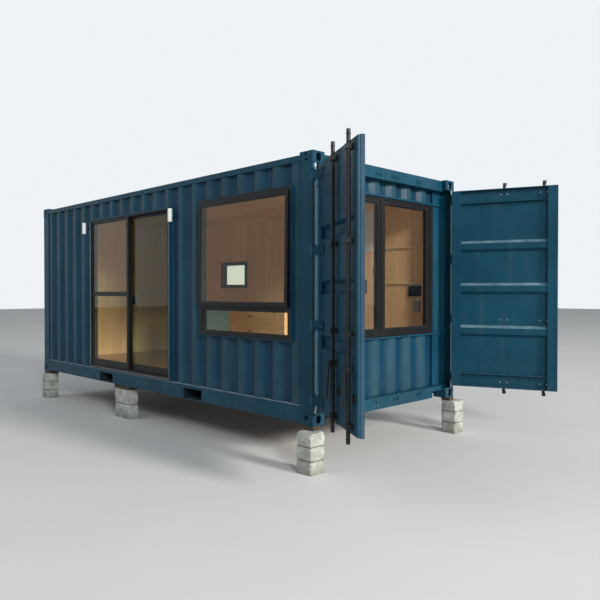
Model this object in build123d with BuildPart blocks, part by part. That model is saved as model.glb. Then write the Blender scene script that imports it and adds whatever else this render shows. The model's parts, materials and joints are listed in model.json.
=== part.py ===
from build123d import *
import math
import os

# A 20 foot steel container made into a cabin. X runs along it to the door end, the glazed side faces -Y,
# and z is 0 at the lowest ground that a pier stands on. Everything is drawn about the container's middle,
# then saved from the middle of the pier's underside at the glazed corner of the door end.
# Sizes are millimetres and degrees.

# The container
length = 6058
width = 2438
height = 2591
ground_gap = 430                 # underside of the castings above the lowest ground
sheet = 2                        # wall and roof steel
touch_gap = 0.5                  # running gap at pins and guides

casting_length = 178
casting_width = 162
casting_height = 118
casting_wall = 14
end_hole_width = 63.5
side_hole_width = 51
hole_height = 79.5
top_hole_length = 124
hole_chamfer = 18                # corners of the castings' holes

# Rails and posts
bottom_rail_low = 14             # above the underside of the castings
bottom_rail_high = 184
top_rail_drop = 86                # underside of the top rails below the container's top
top_rail_size = 60
rail_inset = 4                   # rails sit this far inside the castings' faces
rail_plate = 5
rail_flange = 46
post_plate = 6
post_inset = 6
door_post_return = 52
door_post_stop = 46              # width of the closed part behind the door leaf
blind_post_width = 130

# Door end: header, sill and the plane that the closed leaves lie in
door_setback = 64                # outer face of a closed leaf behind the castings' faces
header_drop = 130                # header's underside and top below the container's top
header_inset = 6
header_depth = 114
sill_low = 17
sill_high = 145
lintel_plate = 8
beam_plate = 4
sill_notch_width = 190
sill_notch_height = 75

# Floor
deck_thickness = 28
deck_low = 172
cross_height = 122
cross_flange = 45
cross_plate = 4
cross_spacing = 330
pocket_spacing = 2050
pocket_shift = 60                # middle of the pair from the container's middle
pocket_width = 360
pocket_height = 115
pocket_low = 26
pocket_plate = 6

# Corrugated walls
wall_inset = 12                  # outer flats behind the castings' faces
side_pitch = 278
side_flat = 72
side_slope = 68
side_depth = 36
blind_pitch = 250
blind_flat = 110
blind_slope = 18
blind_depth = 46
infill_face = 144                # ridges of the wall behind the doors, from the castings' faces
infill_pitch = 290
infill_phase = 212               # middle of one of its ridges
infill_return = 38               # folded edges of its flat strips
roof_pitch = 209
roof_flat = 91
roof_slope = 13
roof_rise = 20
roof_margin = 130
roof_border = 120                # flat along the sides, where the ribs stop
roof_width = 2380

# Linings
lining = 12
lining_gap = 3
side_lining_inset = 71           # back of the side linings from the container's side
end_lining_inset = 203           # front of the end lining from the castings' faces
blind_lining_inset = 184
ceiling_drop = 171
ceiling_boards = 4

# Sliding door
door_left = -1410
door_right = 614
door_top_drop = 321              # top of the opening below the container's top
door_trim = 20                   # width of the steel trim's face
door_trim_proud = 4
door_frame_front = 8             # frame's front behind the container's side
door_frame_depth = 92
door_jamb = 26
door_lock_jamb = 48              # jamb that the sliding panel shuts against
door_head = 18
door_sill = 28
track_rib = 6
panel_depth = 30
panel_stile = 50
panel_side_stile = 16            # fixed panel's stile in the jamb's channel
panel_top_rail = 24
panel_bottom_rail = 76
panel_mid_rail = 46
panel_mid_height = 1037          # middle of the mid rail above the floor
outer_track = 5                  # panel's front behind the frame's front
inner_track = 45
panel_clear = 5
glass = 6
pull_height = 160
pull_above_floor = 960
pull_width = 28
pull_plate = 4
pull_reach = 15
pull_grip_margin = 30            # grip from the plate's ends

# Side window
window_width = 1491
window_end_gap = 274             # from the window to the container's door end
window_low = 788
window_top_drop = 308
trim_plate = 8
window_proud = 25
window_box_depth = 85
window_frame = 48
window_frame_front = 2           # frame's front behind the trim's
window_frame_depth = 70
transom_middle = 1093
transom = 46
lower_glass_back = 12            # middle of the lower light behind the frame's front
sash_overlap = 30                # sash over the frame at both sides
sash_low = 1115
sash_top_drop = 37               # sash below the frame's top
sash_bar = 38
sash_depth = 22
sash_tilt = 0.9

# End window
end_window_margin = 190          # flat strip of wall beside it
end_window_low = 775
end_window_top_drop = 286
end_frame = 45
end_jamb = 60
end_frame_depth = 100
end_mullion = 40
end_sash_bar = 38
end_sash_depth = 34
end_sash_gap = 4
flashing_proud = 22
flashing_drop = 18

# Rear window and kitchen bench under it
rear_window_left = -1395
rear_window_right = -730
rear_window_low = 1330
rear_window_high = 1755
rear_frame = 45
rear_frame_depth = 100
bench_left = -1120
bench_right = 740
bench_depth = 560
bench_height = 900
bench_top = 30
bench_kick = 90
bench_overhang = 15
front_thickness = 18
front_gap = 4
drawer_height = 330
end_front_width = 216
front_split = -490               # between the teal door and the wooden fronts

# Wall lights
light_radius = 28
light_height = 160
light_stand = 84                 # body's middle in front of the wall's valley
light_plate = 8
light_plate_width = 60
light_arm = 24
light_drop = 172                 # light's foot below the door's top
left_light_valley = -5.5         # pitches from the middle of the wall
right_light_valley = 2.5

# Piers: courses of blocks under each corner and the middle
pier_height = 390
pier_width = 190                 # corner piers, square
mid_pier_length = 390
mid_pier_width = 140
mid_pier_x = -570
mid_pier_setback = 20            # its face behind the container's side
door_pier_out = 75               # door end's piers beyond the end and the sides
door_pier_side = 105
blind_pier_out = -20
blind_pier_side = 45

# Container doors, hung on pins at the corner posts
pin_setback = 19                 # pin's middle behind the castings' faces
pin_inset = 21                   # pin's middle inside the container's side
pin_radius = 11
left_open = 121.5                # degrees that each door stands open
right_open = 111
leaf_start = 25                  # hinge edge of the leaf from the pin
leaf_width = 1162
leaf_margin = 10                 # leaf's edges clear of the sill and header
leaf_depth = 50
leaf_stile = 100
leaf_rail = 150
leaf_plate = 4
leaf_rib_spacing = 495
leaf_rib_flat = 70
leaf_rib_slope = 30
leaf_rib_depth = 34
gasket_proud = 5
gasket_depth = 34
hinge_margin = 92                # outer hinges from the leaf's ends
hinge_count = 4
knuckle_radius = 17
knuckle_height = 90
lug_plate = 10
lug_width = 34
lug_back = 35                    # lug behind the pin's middle and in front of it
lug_front = 17
lug_notch = 30                   # post cut away behind the pin's middle
lug_gap = 2
hinge_blade_length = 190
hinge_blade = 10
inner_rod_place = 610            # along the leaf from the pin
outer_rod_place = 1042
rod_radius = 17
rod_standoff = 30                # rod's middle in front of the leaf
cam_margin = 60                  # cams' middles beyond the leaf's ends
cam_height = 30
cam_nose = 24
cam_nose_width = 18
guide_margin = 60                # outer guides from the leaf's ends
guide_count = 4
guide_height = 40
guide_width = 52
guide_foot = 6
guide_ear = 22
handle_hub_height = 665
handle_hub = 44
handle_length = 300
handle_bar = 10
handle_width = 32
handle_reach = 37
keeper_height = 30
keeper_width = 12
keeper_proud = 15
keeper_spread = 56

half_length = length / 2
half_width = width / 2
base = ground_gap
top_rail_low = height - top_rail_drop
header_low = height - header_drop
header_high = height - header_inset
ceiling_low = height - ceiling_drop
door_top = height - door_top_drop
window_high = height - window_top_drop
window_right = half_length - window_end_gap
window_left = window_right - window_width
sash_high = window_high - sash_top_drop
end_window_high = height - end_window_top_drop
light_low = door_top - light_drop
rod_places = (inner_rod_place, outer_rod_place)
leaf_low = sill_high + leaf_margin
leaf_high = header_low - leaf_margin
cam_levels = (leaf_low - cam_margin, leaf_high + cam_margin)
front_side = -half_width
rail_reach = half_length - casting_length
leaf_face = half_length - door_setback
pin_x = half_length - pin_setback
pin_y = half_width - pin_inset
door_pier_x = half_length + door_pier_out - pier_width / 2
door_pier_y = half_width + door_pier_side - pier_width / 2
blind_pier_x = -(half_length + blind_pier_out - pier_width / 2)
blind_pier_y = half_width + blind_pier_side - pier_width / 2
pocket_places = [pocket_shift + side * pocket_spacing / 2 for side in (-1, 1)]

infill_side = half_width - post_inset / 2 - door_post_stop
end_window_width = 2 * (infill_side - end_window_margin)

os.makedirs("parts", exist_ok=True)


def spread(low, high, count):
    """Evenly spaced heights from low to high."""
    return [low + (high - low) * number / (count - 1) for number in range(count)]


hinge_heights = spread(leaf_low + hinge_margin, leaf_high - hinge_margin, hinge_count)
guide_heights = spread(leaf_low + guide_margin, leaf_high - guide_margin, guide_count)


def save(piece, name):
    piece.part.label = name
    piece.part.position = (-door_pier_x, door_pier_y, 0)
    export_step(piece.part, f"parts/{name}.step")


def rising(z):
    """The level plane at a height above the underside of the castings."""
    return Plane.XY.offset(base + z)


def slab(x0, x1, y0, y1, z0, z1, mode=Mode.ADD):
    """A straight-edged piece between two corners, heights above the underside of the castings."""
    with BuildSketch(rising(z0)) as outline:
        with Locations(((x0 + x1) / 2, (y0 + y1) / 2)):
            Rectangle(x1 - x0, y1 - y0)
    extrude(outline.sketch, amount=z1 - z0, mode=mode)


def ring(plane, centre, outer, inner, depth):
    """A picture-frame piece on a plane, extruded along its normal."""
    with BuildSketch(plane) as outline:
        with Locations(centre):
            Rectangle(*outer)
            Rectangle(*inner, mode=Mode.SUBTRACT)
    extrude(outline.sketch, amount=depth)


def wave(start, end, middle, pitch, flat, slope):
    """Corners of a pressed sheet from start to end: place and share of the depth, 0 on the ridges."""
    breaks = ((-flat / 2, 0), (flat / 2, 0), (flat / 2 + slope, 1), (pitch - flat / 2 - slope, 1))

    def share(place):
        along = (place - middle + flat / 2) % pitch - flat / 2
        if along <= flat / 2:
            return 0
        if along <= flat / 2 + slope:
            return (along - flat / 2) / slope
        if along <= pitch - flat / 2 - slope:
            return 1
        return (pitch - flat / 2 - along) / slope

    first = math.floor((start - middle) / pitch) - 1
    last = math.ceil((end - middle) / pitch) + 1
    corners = [(start, share(start))]
    for number in range(first, last + 1):
        for offset, part in breaks:
            place = middle + number * pitch + offset
            if start + 1 < place < end - 1:
                corners.append((place, part))
    corners.append((end, share(end)))
    return corners


def pressed_sheet(plane, corners, depth, rise):
    """A sheet whose section lies on a plane: x along the wall, y from the ridges back, then extruded."""
    front = [(place, part * depth) for place, part in corners]
    back = [(place, away + sheet) for place, away in reversed(front)]
    with BuildSketch(plane) as outline:
        with BuildLine():
            Polyline(*front, *back, close=True)
        make_face()
    extrude(outline.sketch, amount=rise)


def side_wave(start, end):
    return wave(start, end, 0, side_pitch, side_flat, side_slope)


def front_sheet(start, end, low, high):
    """Corrugated wall of the glazed side, ridges outwards."""
    plane = Plane((0, front_side + wall_inset, base + low), x_dir=(1, 0, 0), z_dir=(0, 0, 1))
    pressed_sheet(plane, side_wave(start, end), side_depth, high - low)


def rear_sheet(start, end, low, high):
    """Corrugated wall of the rear side, the glazed side's turned about."""
    plane = Plane((0, half_width - wall_inset, base + low), x_dir=(-1, 0, 0), z_dir=(0, 0, 1))
    pressed_sheet(plane, side_wave(-end, -start), side_depth, high - low)


def infill_sheet(start, end, low, high):
    """Corrugated wall behind the container's doors, from start to end in y."""
    plane = Plane((half_length - infill_face, 0, base + low), x_dir=(0, 1, 0), z_dir=(0, 0, 1))
    corners = wave(start, end, infill_phase, infill_pitch, side_flat, side_slope)
    pressed_sheet(plane, corners, side_depth, high - low)


# Corner castings: hollow blocks with a slot in each outer face
casting_x = half_length - casting_length / 2
casting_y = half_width - casting_width / 2
casting_z = (base + casting_height / 2, base + height - casting_height / 2)
with BuildPart() as corner_castings:
    corners = [(sx * casting_x, sy * casting_y, z) for sx in (-1, 1) for sy in (-1, 1) for z in casting_z]
    with Locations(*corners):
        Box(casting_length, casting_width, casting_height)
        Box(
            casting_length - 2 * casting_wall,
            casting_width - 2 * casting_wall,
            casting_height - 2 * casting_wall,
            mode=Mode.SUBTRACT,
        )
    for sign in (-1, 1):
        with BuildSketch(Plane.YZ.offset(sign * half_length)) as holes:
            with Locations(*[(sy * casting_y, z) for sy in (-1, 1) for z in casting_z]):
                Rectangle(end_hole_width, hole_height)
            chamfer(holes.vertices(), hole_chamfer)
        extrude(amount=-sign * 2 * casting_wall, mode=Mode.SUBTRACT)
        with BuildSketch(Plane.XZ.offset(-sign * half_width)) as holes:
            with Locations(*[(sx * casting_x, z) for sx in (-1, 1) for z in casting_z]):
                Rectangle(side_hole_width, hole_height)
            chamfer(holes.vertices(), hole_chamfer)
        extrude(amount=sign * 2 * casting_wall, mode=Mode.SUBTRACT)
    for level, sign in ((base, 1), (base + height, -1)):
        with BuildSketch(Plane.XY.offset(level)) as holes:
            with Locations(*[(sx * casting_x, sy * casting_y) for sx in (-1, 1) for sy in (-1, 1)]):
                Rectangle(top_hole_length, end_hole_width)
            chamfer(holes.vertices(), hole_chamfer)
        extrude(amount=sign * 2 * casting_wall, mode=Mode.SUBTRACT)
save(corner_castings, "corner_castings")

# Corner posts between the castings, with the door posts' hinge lugs and pins
post_low = casting_height
post_high = height - casting_height
post_face = half_length - post_inset
post_side = half_width - post_inset / 2
stop_front = leaf_face - leaf_depth - 2 * gasket_proud
lug_reach = knuckle_height / 2 + lug_gap
with BuildPart() as corner_posts:
    for side in (-1, 1):
        outline = [
            (rail_reach, side * post_side),
            (post_face, side * post_side),
            (post_face, side * (post_side - door_post_return)),
            (post_face - post_plate, side * (post_side - door_post_return)),
            (post_face - post_plate, side * (post_side - post_plate)),
            (stop_front, side * (post_side - post_plate)),
            (stop_front, side * (post_side - door_post_stop)),
            (rail_reach, side * (post_side - door_post_stop)),
        ]
        with BuildSketch(rising(post_low)):
            with BuildLine():
                Polyline(*outline, close=True)
            make_face()
            hollow_x = (rail_reach + stop_front) / 2
            hollow_y = side * (post_side - door_post_stop / 2)
            with Locations((hollow_x, hollow_y)):
                hollow = (stop_front - rail_reach - 2 * post_plate, door_post_stop - 2 * post_plate)
                Rectangle(*hollow, mode=Mode.SUBTRACT)
        extrude(amount=post_high - post_low)
        for level in hinge_heights:
            notch = lug_reach + lug_plate
            slab(
                pin_x - lug_notch,
                half_length,
                *sorted((side * (post_side - door_post_return), side * half_width)),
                level - notch,
                level + notch,
                mode=Mode.SUBTRACT,
            )
            for low in (level - notch, level + lug_reach):
                slab(
                    pin_x - lug_back,
                    pin_x + lug_front,
                    *sorted((side * (pin_y - lug_width / 2), side * (half_width - 1))),
                    low,
                    low + lug_plate,
                )
            with BuildSketch(rising(level - lug_reach - lug_plate / 2)):
                with Locations((pin_x, side * pin_y)):
                    Circle(pin_radius)
            extrude(amount=2 * lug_reach + lug_plate)
    for side in (-1, 1):
        post_middle = (-(rail_reach + post_face) / 2, side * (post_side - blind_post_width / 2))
        outer = (post_face - rail_reach, blind_post_width)
        inner = (outer[0] - 2 * post_plate, outer[1] - 2 * post_plate)
        ring(rising(post_low), post_middle, outer, inner, post_high - post_low)
save(corner_posts, "corner_posts")

# Rails along the roof's edges, and across the top of the blind end
blind_rail_face = half_length - post_inset
with BuildPart() as top_rails:
    for side in (-1, 1):
        half_rail = top_rail_size / 2
        middle = (side * (half_width - rail_inset - half_rail), base + top_rail_low + half_rail)
        inner = top_rail_size - 2 * beam_plate
        ring(Plane.YZ.offset(-rail_reach), middle, (top_rail_size,) * 2, (inner,) * 2, 2 * rail_reach)
    rail_height = top_rail_low + top_rail_size - post_high
    middle = (-blind_rail_face + top_rail_size / 2, base + post_high + rail_height / 2)
    ring(
        Plane.XZ.offset(-(half_width - casting_width)),
        middle,
        (top_rail_size, rail_height),
        (top_rail_size - 2 * beam_plate, rail_height - 2 * beam_plate),
        2 * (half_width - casting_width),
    )
save(top_rails, "top_rails")

# Bottom rails: channels open inwards, the side ones cut for the fork pockets
rail_face = half_width - rail_inset / 2
with BuildPart() as bottom_rails:
    for side in (-1, 1):
        web_inside = side * (rail_face - rail_plate)
        toe = side * (rail_face - rail_flange)
        low = base + bottom_rail_low
        high = base + bottom_rail_high
        with BuildSketch(Plane.YZ.offset(-rail_reach)):
            with BuildLine():
                Polyline(
                    (side * rail_face, low),
                    (toe, low),
                    (toe, low + rail_plate),
                    (web_inside, low + rail_plate),
                    (web_inside, high - rail_plate),
                    (toe, high - rail_plate),
                    (toe, high),
                    (side * rail_face, high),
                    close=True,
                )
            make_face()
        extrude(amount=2 * rail_reach)
        for place in pocket_places:
            slab(
                place - pocket_width / 2,
                place + pocket_width / 2,
                *sorted((side * (rail_face - 2 * rail_plate), side * half_width)),
                pocket_low,
                pocket_low + pocket_height,
                mode=Mode.SUBTRACT,
            )
    blind_reach = half_width - casting_width
    slab(-blind_rail_face, -blind_rail_face + rail_plate, -blind_reach, blind_reach,
         bottom_rail_low, bottom_rail_high)
    for low in (bottom_rail_low, bottom_rail_high - rail_plate):
        slab(-blind_rail_face, -blind_rail_face + rail_flange + 10, -blind_reach, blind_reach,
             low, low + rail_plate)
save(bottom_rails, "bottom_rails")


def door_beam(low, high, plate_low):
    """A hollow beam across the door end, with a wider plate that the wall behind the doors meets."""
    reach = half_width - casting_width
    middle = (leaf_face - header_depth / 2, base + (low + high) / 2)
    inner = (header_depth - 2 * beam_plate, high - low - 2 * beam_plate)
    ring(Plane.XZ.offset(-reach), middle, (header_depth, high - low), inner, 2 * reach)
    plate_back = half_length - infill_face - side_depth - 3 * sheet
    plate_reach = post_side - door_post_stop
    slab(plate_back, leaf_face, -plate_reach, plate_reach, plate_low, plate_low + lintel_plate)


def keepers(level):
    """Pairs of lugs that each rod's cam turns in behind."""
    for place in rod_places:
        for side in (-1, 1):
            for away in (-keeper_spread / 2, keeper_spread / 2):
                left = side * (pin_y - place) + away - keeper_width / 2
                slab(leaf_face, leaf_face + keeper_proud, left, left + keeper_width,
                     level - keeper_height / 2, level + keeper_height / 2)


with BuildPart() as door_header:
    door_beam(header_low, header_high, header_low)
    keepers(cam_levels[1])
save(door_header, "door_header")

with BuildPart() as door_sill_beam:
    door_beam(sill_low, sill_high, sill_high - lintel_plate)
    notch_outer = half_width - casting_width
    for side in (-1, 1):
        slab(leaf_face - header_depth, leaf_face + 1,
             *sorted((side * (notch_outer - sill_notch_width), side * notch_outer)),
             sill_low, sill_low + sill_notch_height, mode=Mode.SUBTRACT)
    keepers(cam_levels[0])
save(door_sill_beam, "door_sill_beam")

# Floor: cross members between the rails, fork pockets right through, and a plywood deck
cross_reach = rail_face - rail_plate
cross_count = 2 * int((rail_reach - cross_flange) / cross_spacing) + 1
with BuildPart() as cross_members:
    for number in range(cross_count):
        place = (number - (cross_count - 1) / 2) * cross_spacing
        pocket_away = min(abs(place - middle) for middle in pocket_places)
        if pocket_away < pocket_width / 2 + pocket_plate + cross_flange:
            continue
        low = base + deck_low - cross_height
        high = base + deck_low
        with BuildSketch(Plane.XZ.offset(-cross_reach)):
            with BuildLine():
                Polyline(
                    (place, low),
                    (place + cross_flange, low),
                    (place + cross_flange, low + cross_plate),
                    (place + cross_plate, low + cross_plate),
                    (place + cross_plate, high - cross_plate),
                    (place + cross_flange, high - cross_plate),
                    (place + cross_flange, high),
                    (place, high),
                    close=True,
                )
            make_face()
        extrude(amount=2 * cross_reach)
save(cross_members, "cross_members")

with BuildPart() as fork_pockets:
    for place in pocket_places:
        middle = (place, base + pocket_low + pocket_height / 2)
        outer = (pocket_width + 2 * pocket_plate, pocket_height + 2 * pocket_plate)
        ring(Plane.XZ.offset(-cross_reach), middle, outer, (pocket_width, pocket_height), 2 * cross_reach)
save(fork_pockets, "fork_pockets")

deck_end = half_length - end_lining_inset + 5
deck_start = -(half_length - blind_lining_inset)
deck_side = half_width - side_lining_inset + 5
with BuildPart() as floor_deck:
    slab(deck_start, deck_end, -deck_side, deck_side, deck_low, deck_low + deck_thickness)
save(floor_deck, "floor_deck")

# Roof: a sheet with ribs across, flat at its ends, on the top rails
roof_low = top_rail_low + top_rail_size
with BuildPart() as roof_panel:
    ribs = wave(roof_margin - rail_reach, rail_reach - roof_margin, 0, roof_pitch, roof_flat, roof_slope)
    corners = [(-rail_reach, 1)] + [(place, part) for place, part in ribs if part in (0, 1)]
    corners = corners + [(rail_reach, 1)]
    top = [(place, base + roof_low + (1 - part) * roof_rise + sheet) for place, part in corners]
    bottom = [(place, level - sheet) for place, level in reversed(top)]
    rib_reach = roof_width / 2 - roof_border
    with BuildSketch(Plane.XZ.offset(-rib_reach)):
        with BuildLine():
            Polyline(*top, *bottom, close=True)
        make_face()
    extrude(amount=2 * rib_reach)
    for side in (-1, 1):
        with BuildSketch(Plane.XZ.offset(-side * rib_reach)):
            for number in range(len(corners) - 3):
                if [part for place, part in corners[number:number + 4]] == [1, 0, 0, 1]:
                    rib = top[number:number + 4]
                    feet = [(rib[end][0], base + roof_low) for end in (3, 0)]
                    with BuildLine():
                        Polyline(*rib, *feet, close=True)
                    make_face()
        extrude(amount=side * sheet)
        slab(-rail_reach, rail_reach, *sorted((side * rib_reach, side * roof_width / 2)),
             roof_low, roof_low + sheet)
    slab(-blind_rail_face, -rail_reach, -blind_reach, blind_reach, roof_low, roof_low + sheet)
save(roof_panel, "roof_panel")

# Walls of the glazed side, split beside and over the sliding door and the window
wall_low = bottom_rail_high
wall_high = top_rail_low
door_cut_left = door_left - door_trim
door_cut_right = door_right + door_trim
window_cut_left = window_left - trim_plate
window_cut_right = window_right + trim_plate
with BuildPart() as front_wall_sides:
    front_sheet(-rail_reach, door_cut_left, wall_low, wall_high)
    front_sheet(door_cut_right, window_cut_left, wall_low, wall_high)
    front_sheet(window_cut_right, rail_reach, wall_low, wall_high)
save(front_wall_sides, "front_wall_sides")

with BuildPart() as front_wall_over_door:
    front_sheet(door_cut_left, door_cut_right, door_top + door_trim, wall_high)
save(front_wall_over_door, "front_wall_over_door")

with BuildPart() as front_wall_window_bays:
    front_sheet(window_cut_left, window_cut_right, wall_low, window_low - trim_plate)
    front_sheet(window_cut_left, window_cut_right, window_high + trim_plate, wall_high)
save(front_wall_window_bays, "front_wall_window_bays")

with BuildPart() as rear_wall_sides:
    rear_sheet(-rail_reach, rear_window_left, wall_low, wall_high)
    rear_sheet(rear_window_right, rail_reach, wall_low, wall_high)
save(rear_wall_sides, "rear_wall_sides")

with BuildPart() as rear_wall_window_bays:
    rear_sheet(rear_window_left, rear_window_right, wall_low, rear_window_low)
    rear_sheet(rear_window_left, rear_window_right, rear_window_high, wall_high)
save(rear_wall_window_bays, "rear_wall_window_bays")

with BuildPart() as blind_end_wall:
    blind_side = post_side - blind_post_width
    blind_face = -half_length + wall_inset + post_inset
    plane = Plane((blind_face, 0, base + wall_low), x_dir=(0, -1, 0), z_dir=(0, 0, 1))
    corners = wave(-blind_side, blind_side, 0, blind_pitch, blind_flat, blind_slope)
    pressed_sheet(plane, corners, blind_depth, post_high - wall_low)
save(blind_end_wall, "blind_end_wall")

# Wall behind the container's own doors, round the end window
infill_front = half_length - infill_face
with BuildPart() as end_wall_sides:
    for side in (-1, 1):
        inner = side * end_window_width / 2
        outer = side * infill_side
        slab(infill_front - sheet, infill_front, *sorted((inner, outer)), sill_high, header_low)
        for edge in (inner + side * sheet / 2, outer - side * sheet / 2):
            slab(infill_front - infill_return, infill_front - sheet, edge - sheet / 2, edge + sheet / 2,
                 sill_high, header_low)
save(end_wall_sides, "end_wall_sides")

with BuildPart() as end_wall_window_bays:
    infill_sheet(-end_window_width / 2, end_window_width / 2, sill_high, end_window_low)
    infill_sheet(-end_window_width / 2, end_window_width / 2, end_window_high, header_low)
save(end_wall_window_bays, "end_wall_window_bays")

# Plywood linings: boards that stand on the deck and carry the ceiling
board_low = deck_low + deck_thickness
board_back = half_width - side_lining_inset
board_front = board_back - lining
end_board = half_length - end_lining_inset
blind_board = -(half_length - blind_lining_inset)
board_start = blind_board + lining + lining_gap
board_end = end_board - lining - lining_gap


def lining_bay(side, left, right, low, high):
    slab(left, right, *sorted((side * board_back, side * board_front)), low, high)


def lined_wall(side, openings):
    """Boards of one long wall: full height between the openings, short ones under and over them."""
    left = board_start
    for start, end, low, high in openings:
        lining_bay(side, left, start - lining_gap, board_low, ceiling_low)
        if low > board_low:
            lining_bay(side, start, end, board_low, low - lining_gap)
        lining_bay(side, start, end, high + lining_gap, ceiling_low)
        left = end + lining_gap
    lining_bay(side, left, board_end, board_low, ceiling_low)


with BuildPart() as wall_linings:
    lined_wall(-1, ((door_left, door_right, board_low, door_top),
                    (window_left, window_right, window_low, window_high)))
    lined_wall(1, ((rear_window_left, rear_window_right, rear_window_low, rear_window_high),))
    end_side = board_front - lining_gap
    half_window = end_window_width / 2
    slab(blind_board, blind_board + lining, -end_side, -lining_gap / 2, board_low, ceiling_low)
    slab(blind_board, blind_board + lining, lining_gap / 2, end_side, board_low, ceiling_low)
    for side in (-1, 1):
        slab(end_board - lining, end_board, *sorted((side * (half_window + lining_gap), side * end_side)),
             board_low, ceiling_low)
    slab(end_board - lining, end_board, -half_window, half_window, board_low, end_window_low - lining_gap)
    slab(end_board - lining, end_board, -half_window, half_window, end_window_high + lining_gap, ceiling_low)
save(wall_linings, "wall_linings")

with BuildPart() as ceiling_lining:
    board_length = (end_board - blind_board + lining_gap) / ceiling_boards
    for number in range(ceiling_boards):
        left = blind_board + number * board_length
        slab(left, left + board_length - lining_gap, -board_back, board_back,
             ceiling_low, ceiling_low + lining)
save(ceiling_lining, "ceiling_lining")


def side_plane(back):
    """An upright plane of the glazed side, facing out, so far behind the container's side."""
    return Plane((0, front_side + back, 0), x_dir=(1, 0, 0), z_dir=(0, 1, 0))


def side_frame(left, right, low, high, bars, back, depth):
    """A rectangular frame in the glazed side: bars are the left, right, bottom and top widths."""
    start, end, under, over = bars
    with BuildSketch(side_plane(back)) as outline:
        with Locations(((left + right) / 2, -base - (low + high) / 2)):
            Rectangle(right - left, high - low)
        clear_x = (left + start + right - end) / 2
        clear_z = (low + under + high - over) / 2
        with Locations((clear_x, -base - clear_z)):
            Rectangle(right - left - start - end, high - low - under - over, mode=Mode.SUBTRACT)
    extrude(outline.sketch, amount=depth)


# Steel trims: a thin frame round the sliding door and a deeper box that stands out round the window
with BuildPart() as opening_trims:
    side_frame(door_cut_left, door_cut_right, board_low, door_top + door_trim,
               (door_trim, door_trim, 0, door_trim), -door_trim_proud, side_lining_inset)
    side_frame(window_cut_left, window_cut_right, window_low - trim_plate, window_high + trim_plate,
               (trim_plate,) * 4, -window_proud, window_box_depth)
save(opening_trims, "opening_trims")

# Sliding door: frame with two tracks, a fixed panel outside and a sliding one inside
with BuildPart() as sliding_door_frame:
    side_frame(door_left, door_right, board_low, door_top, (door_jamb, door_lock_jamb, door_sill, door_head),
               door_frame_front, door_frame_depth)
    for track in (outer_track, inner_track):
        rib_middle = front_side + door_frame_front + track + panel_depth / 2
        slab(door_left + door_jamb, door_right - door_lock_jamb, rib_middle - 2, rib_middle + 2,
             board_low + door_sill, board_low + door_sill + track_rib)
save(sliding_door_frame, "sliding_door_frame")

panel_low = board_low + door_sill + track_rib + touch_gap
panel_high = door_top - door_head - panel_clear
mid_low = board_low + panel_mid_height - panel_mid_rail / 2
door_middle = (door_left + door_right) / 2
fixed_left = door_left + door_jamb
fixed_right = door_middle + panel_stile / 2
slide_left = door_middle - panel_stile / 2
slide_right = door_right - door_lock_jamb - panel_clear
outer_front = door_frame_front + outer_track
inner_front = door_frame_front + inner_track
panel_bars = (panel_stile, panel_stile, panel_bottom_rail, panel_top_rail)
with BuildPart() as fixed_door_panel:
    side_frame(fixed_left, fixed_right, board_low + door_sill + track_rib, door_top - door_head,
               (panel_side_stile, panel_stile, panel_bottom_rail, panel_top_rail), outer_front, panel_depth)
    slab(fixed_left + panel_side_stile, fixed_right - panel_stile, front_side + outer_front,
         front_side + outer_front + panel_depth, mid_low, mid_low + panel_mid_rail)
save(fixed_door_panel, "fixed_door_panel")

with BuildPart() as sliding_door_panel:
    side_frame(slide_left, slide_right, panel_low, panel_high, panel_bars, inner_front, panel_depth)
save(sliding_door_panel, "sliding_door_panel")


def pane(left, right, low, high, back):
    """A sheet of glass upright in the glazed side, its middle so far behind the container's side."""
    middle = front_side + back
    slab(left, right, middle - glass / 2, middle + glass / 2, low, high)


with BuildPart() as sliding_door_glass:
    pane(slide_left + panel_stile, slide_right - panel_stile, panel_low + panel_bottom_rail,
         panel_high - panel_top_rail, inner_front + panel_depth / 2)
save(sliding_door_glass, "sliding_door_glass")

pull_middle = slide_right - panel_stile / 2
pull_low = board_low + pull_above_floor - pull_height / 2
with BuildPart() as sliding_door_pull:
    for face, out in ((front_side + inner_front, -1), (front_side + inner_front + panel_depth, 1)):
        plate_face = face + out * pull_plate
        slab(pull_middle - pull_width / 2, pull_middle + pull_width / 2, *sorted((face, plate_face)),
             pull_low, pull_low + pull_height)
        slab(pull_middle + pull_width / 4, pull_middle + pull_width / 2,
             *sorted((plate_face, face + out * pull_reach)),
             pull_low + pull_grip_margin, pull_low + pull_height - pull_grip_margin)
save(sliding_door_pull, "sliding_door_pull")

# Side window: frame with a transom, and a top-hung sash on its face that stands a little open
frame_back = window_frame_front - window_proud
transom_low = transom_middle - transom / 2
with BuildPart() as side_window_frame:
    side_frame(window_left, window_right, window_low, window_high, (window_frame,) * 4,
               frame_back, window_frame_depth)
    slab(window_left + window_frame, window_right - window_frame, front_side + frame_back,
         front_side + frame_back + window_frame_depth, transom_low, transom_low + transom)
save(side_window_frame, "side_window_frame")

sash_left = window_left + window_frame - sash_overlap
sash_right = window_right - window_frame + sash_overlap
sash_hinge = Plane(
    (0, front_side + frame_back, base + sash_high),
    x_dir=(1, 0, 0),
    z_dir=(0, math.cos(math.radians(sash_tilt)), -math.sin(math.radians(sash_tilt))),
)
sash_rise = sash_high - sash_low
sash_middle = ((sash_left + sash_right) / 2, sash_rise / 2)
sash_outer = (sash_right - sash_left, sash_rise)
sash_clear = (sash_outer[0] - 2 * sash_bar, sash_outer[1] - 2 * sash_bar)
with BuildPart() as side_window_sash:
    ring(sash_hinge, sash_middle, sash_outer, sash_clear, -sash_depth)
save(side_window_sash, "side_window_sash")

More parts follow.
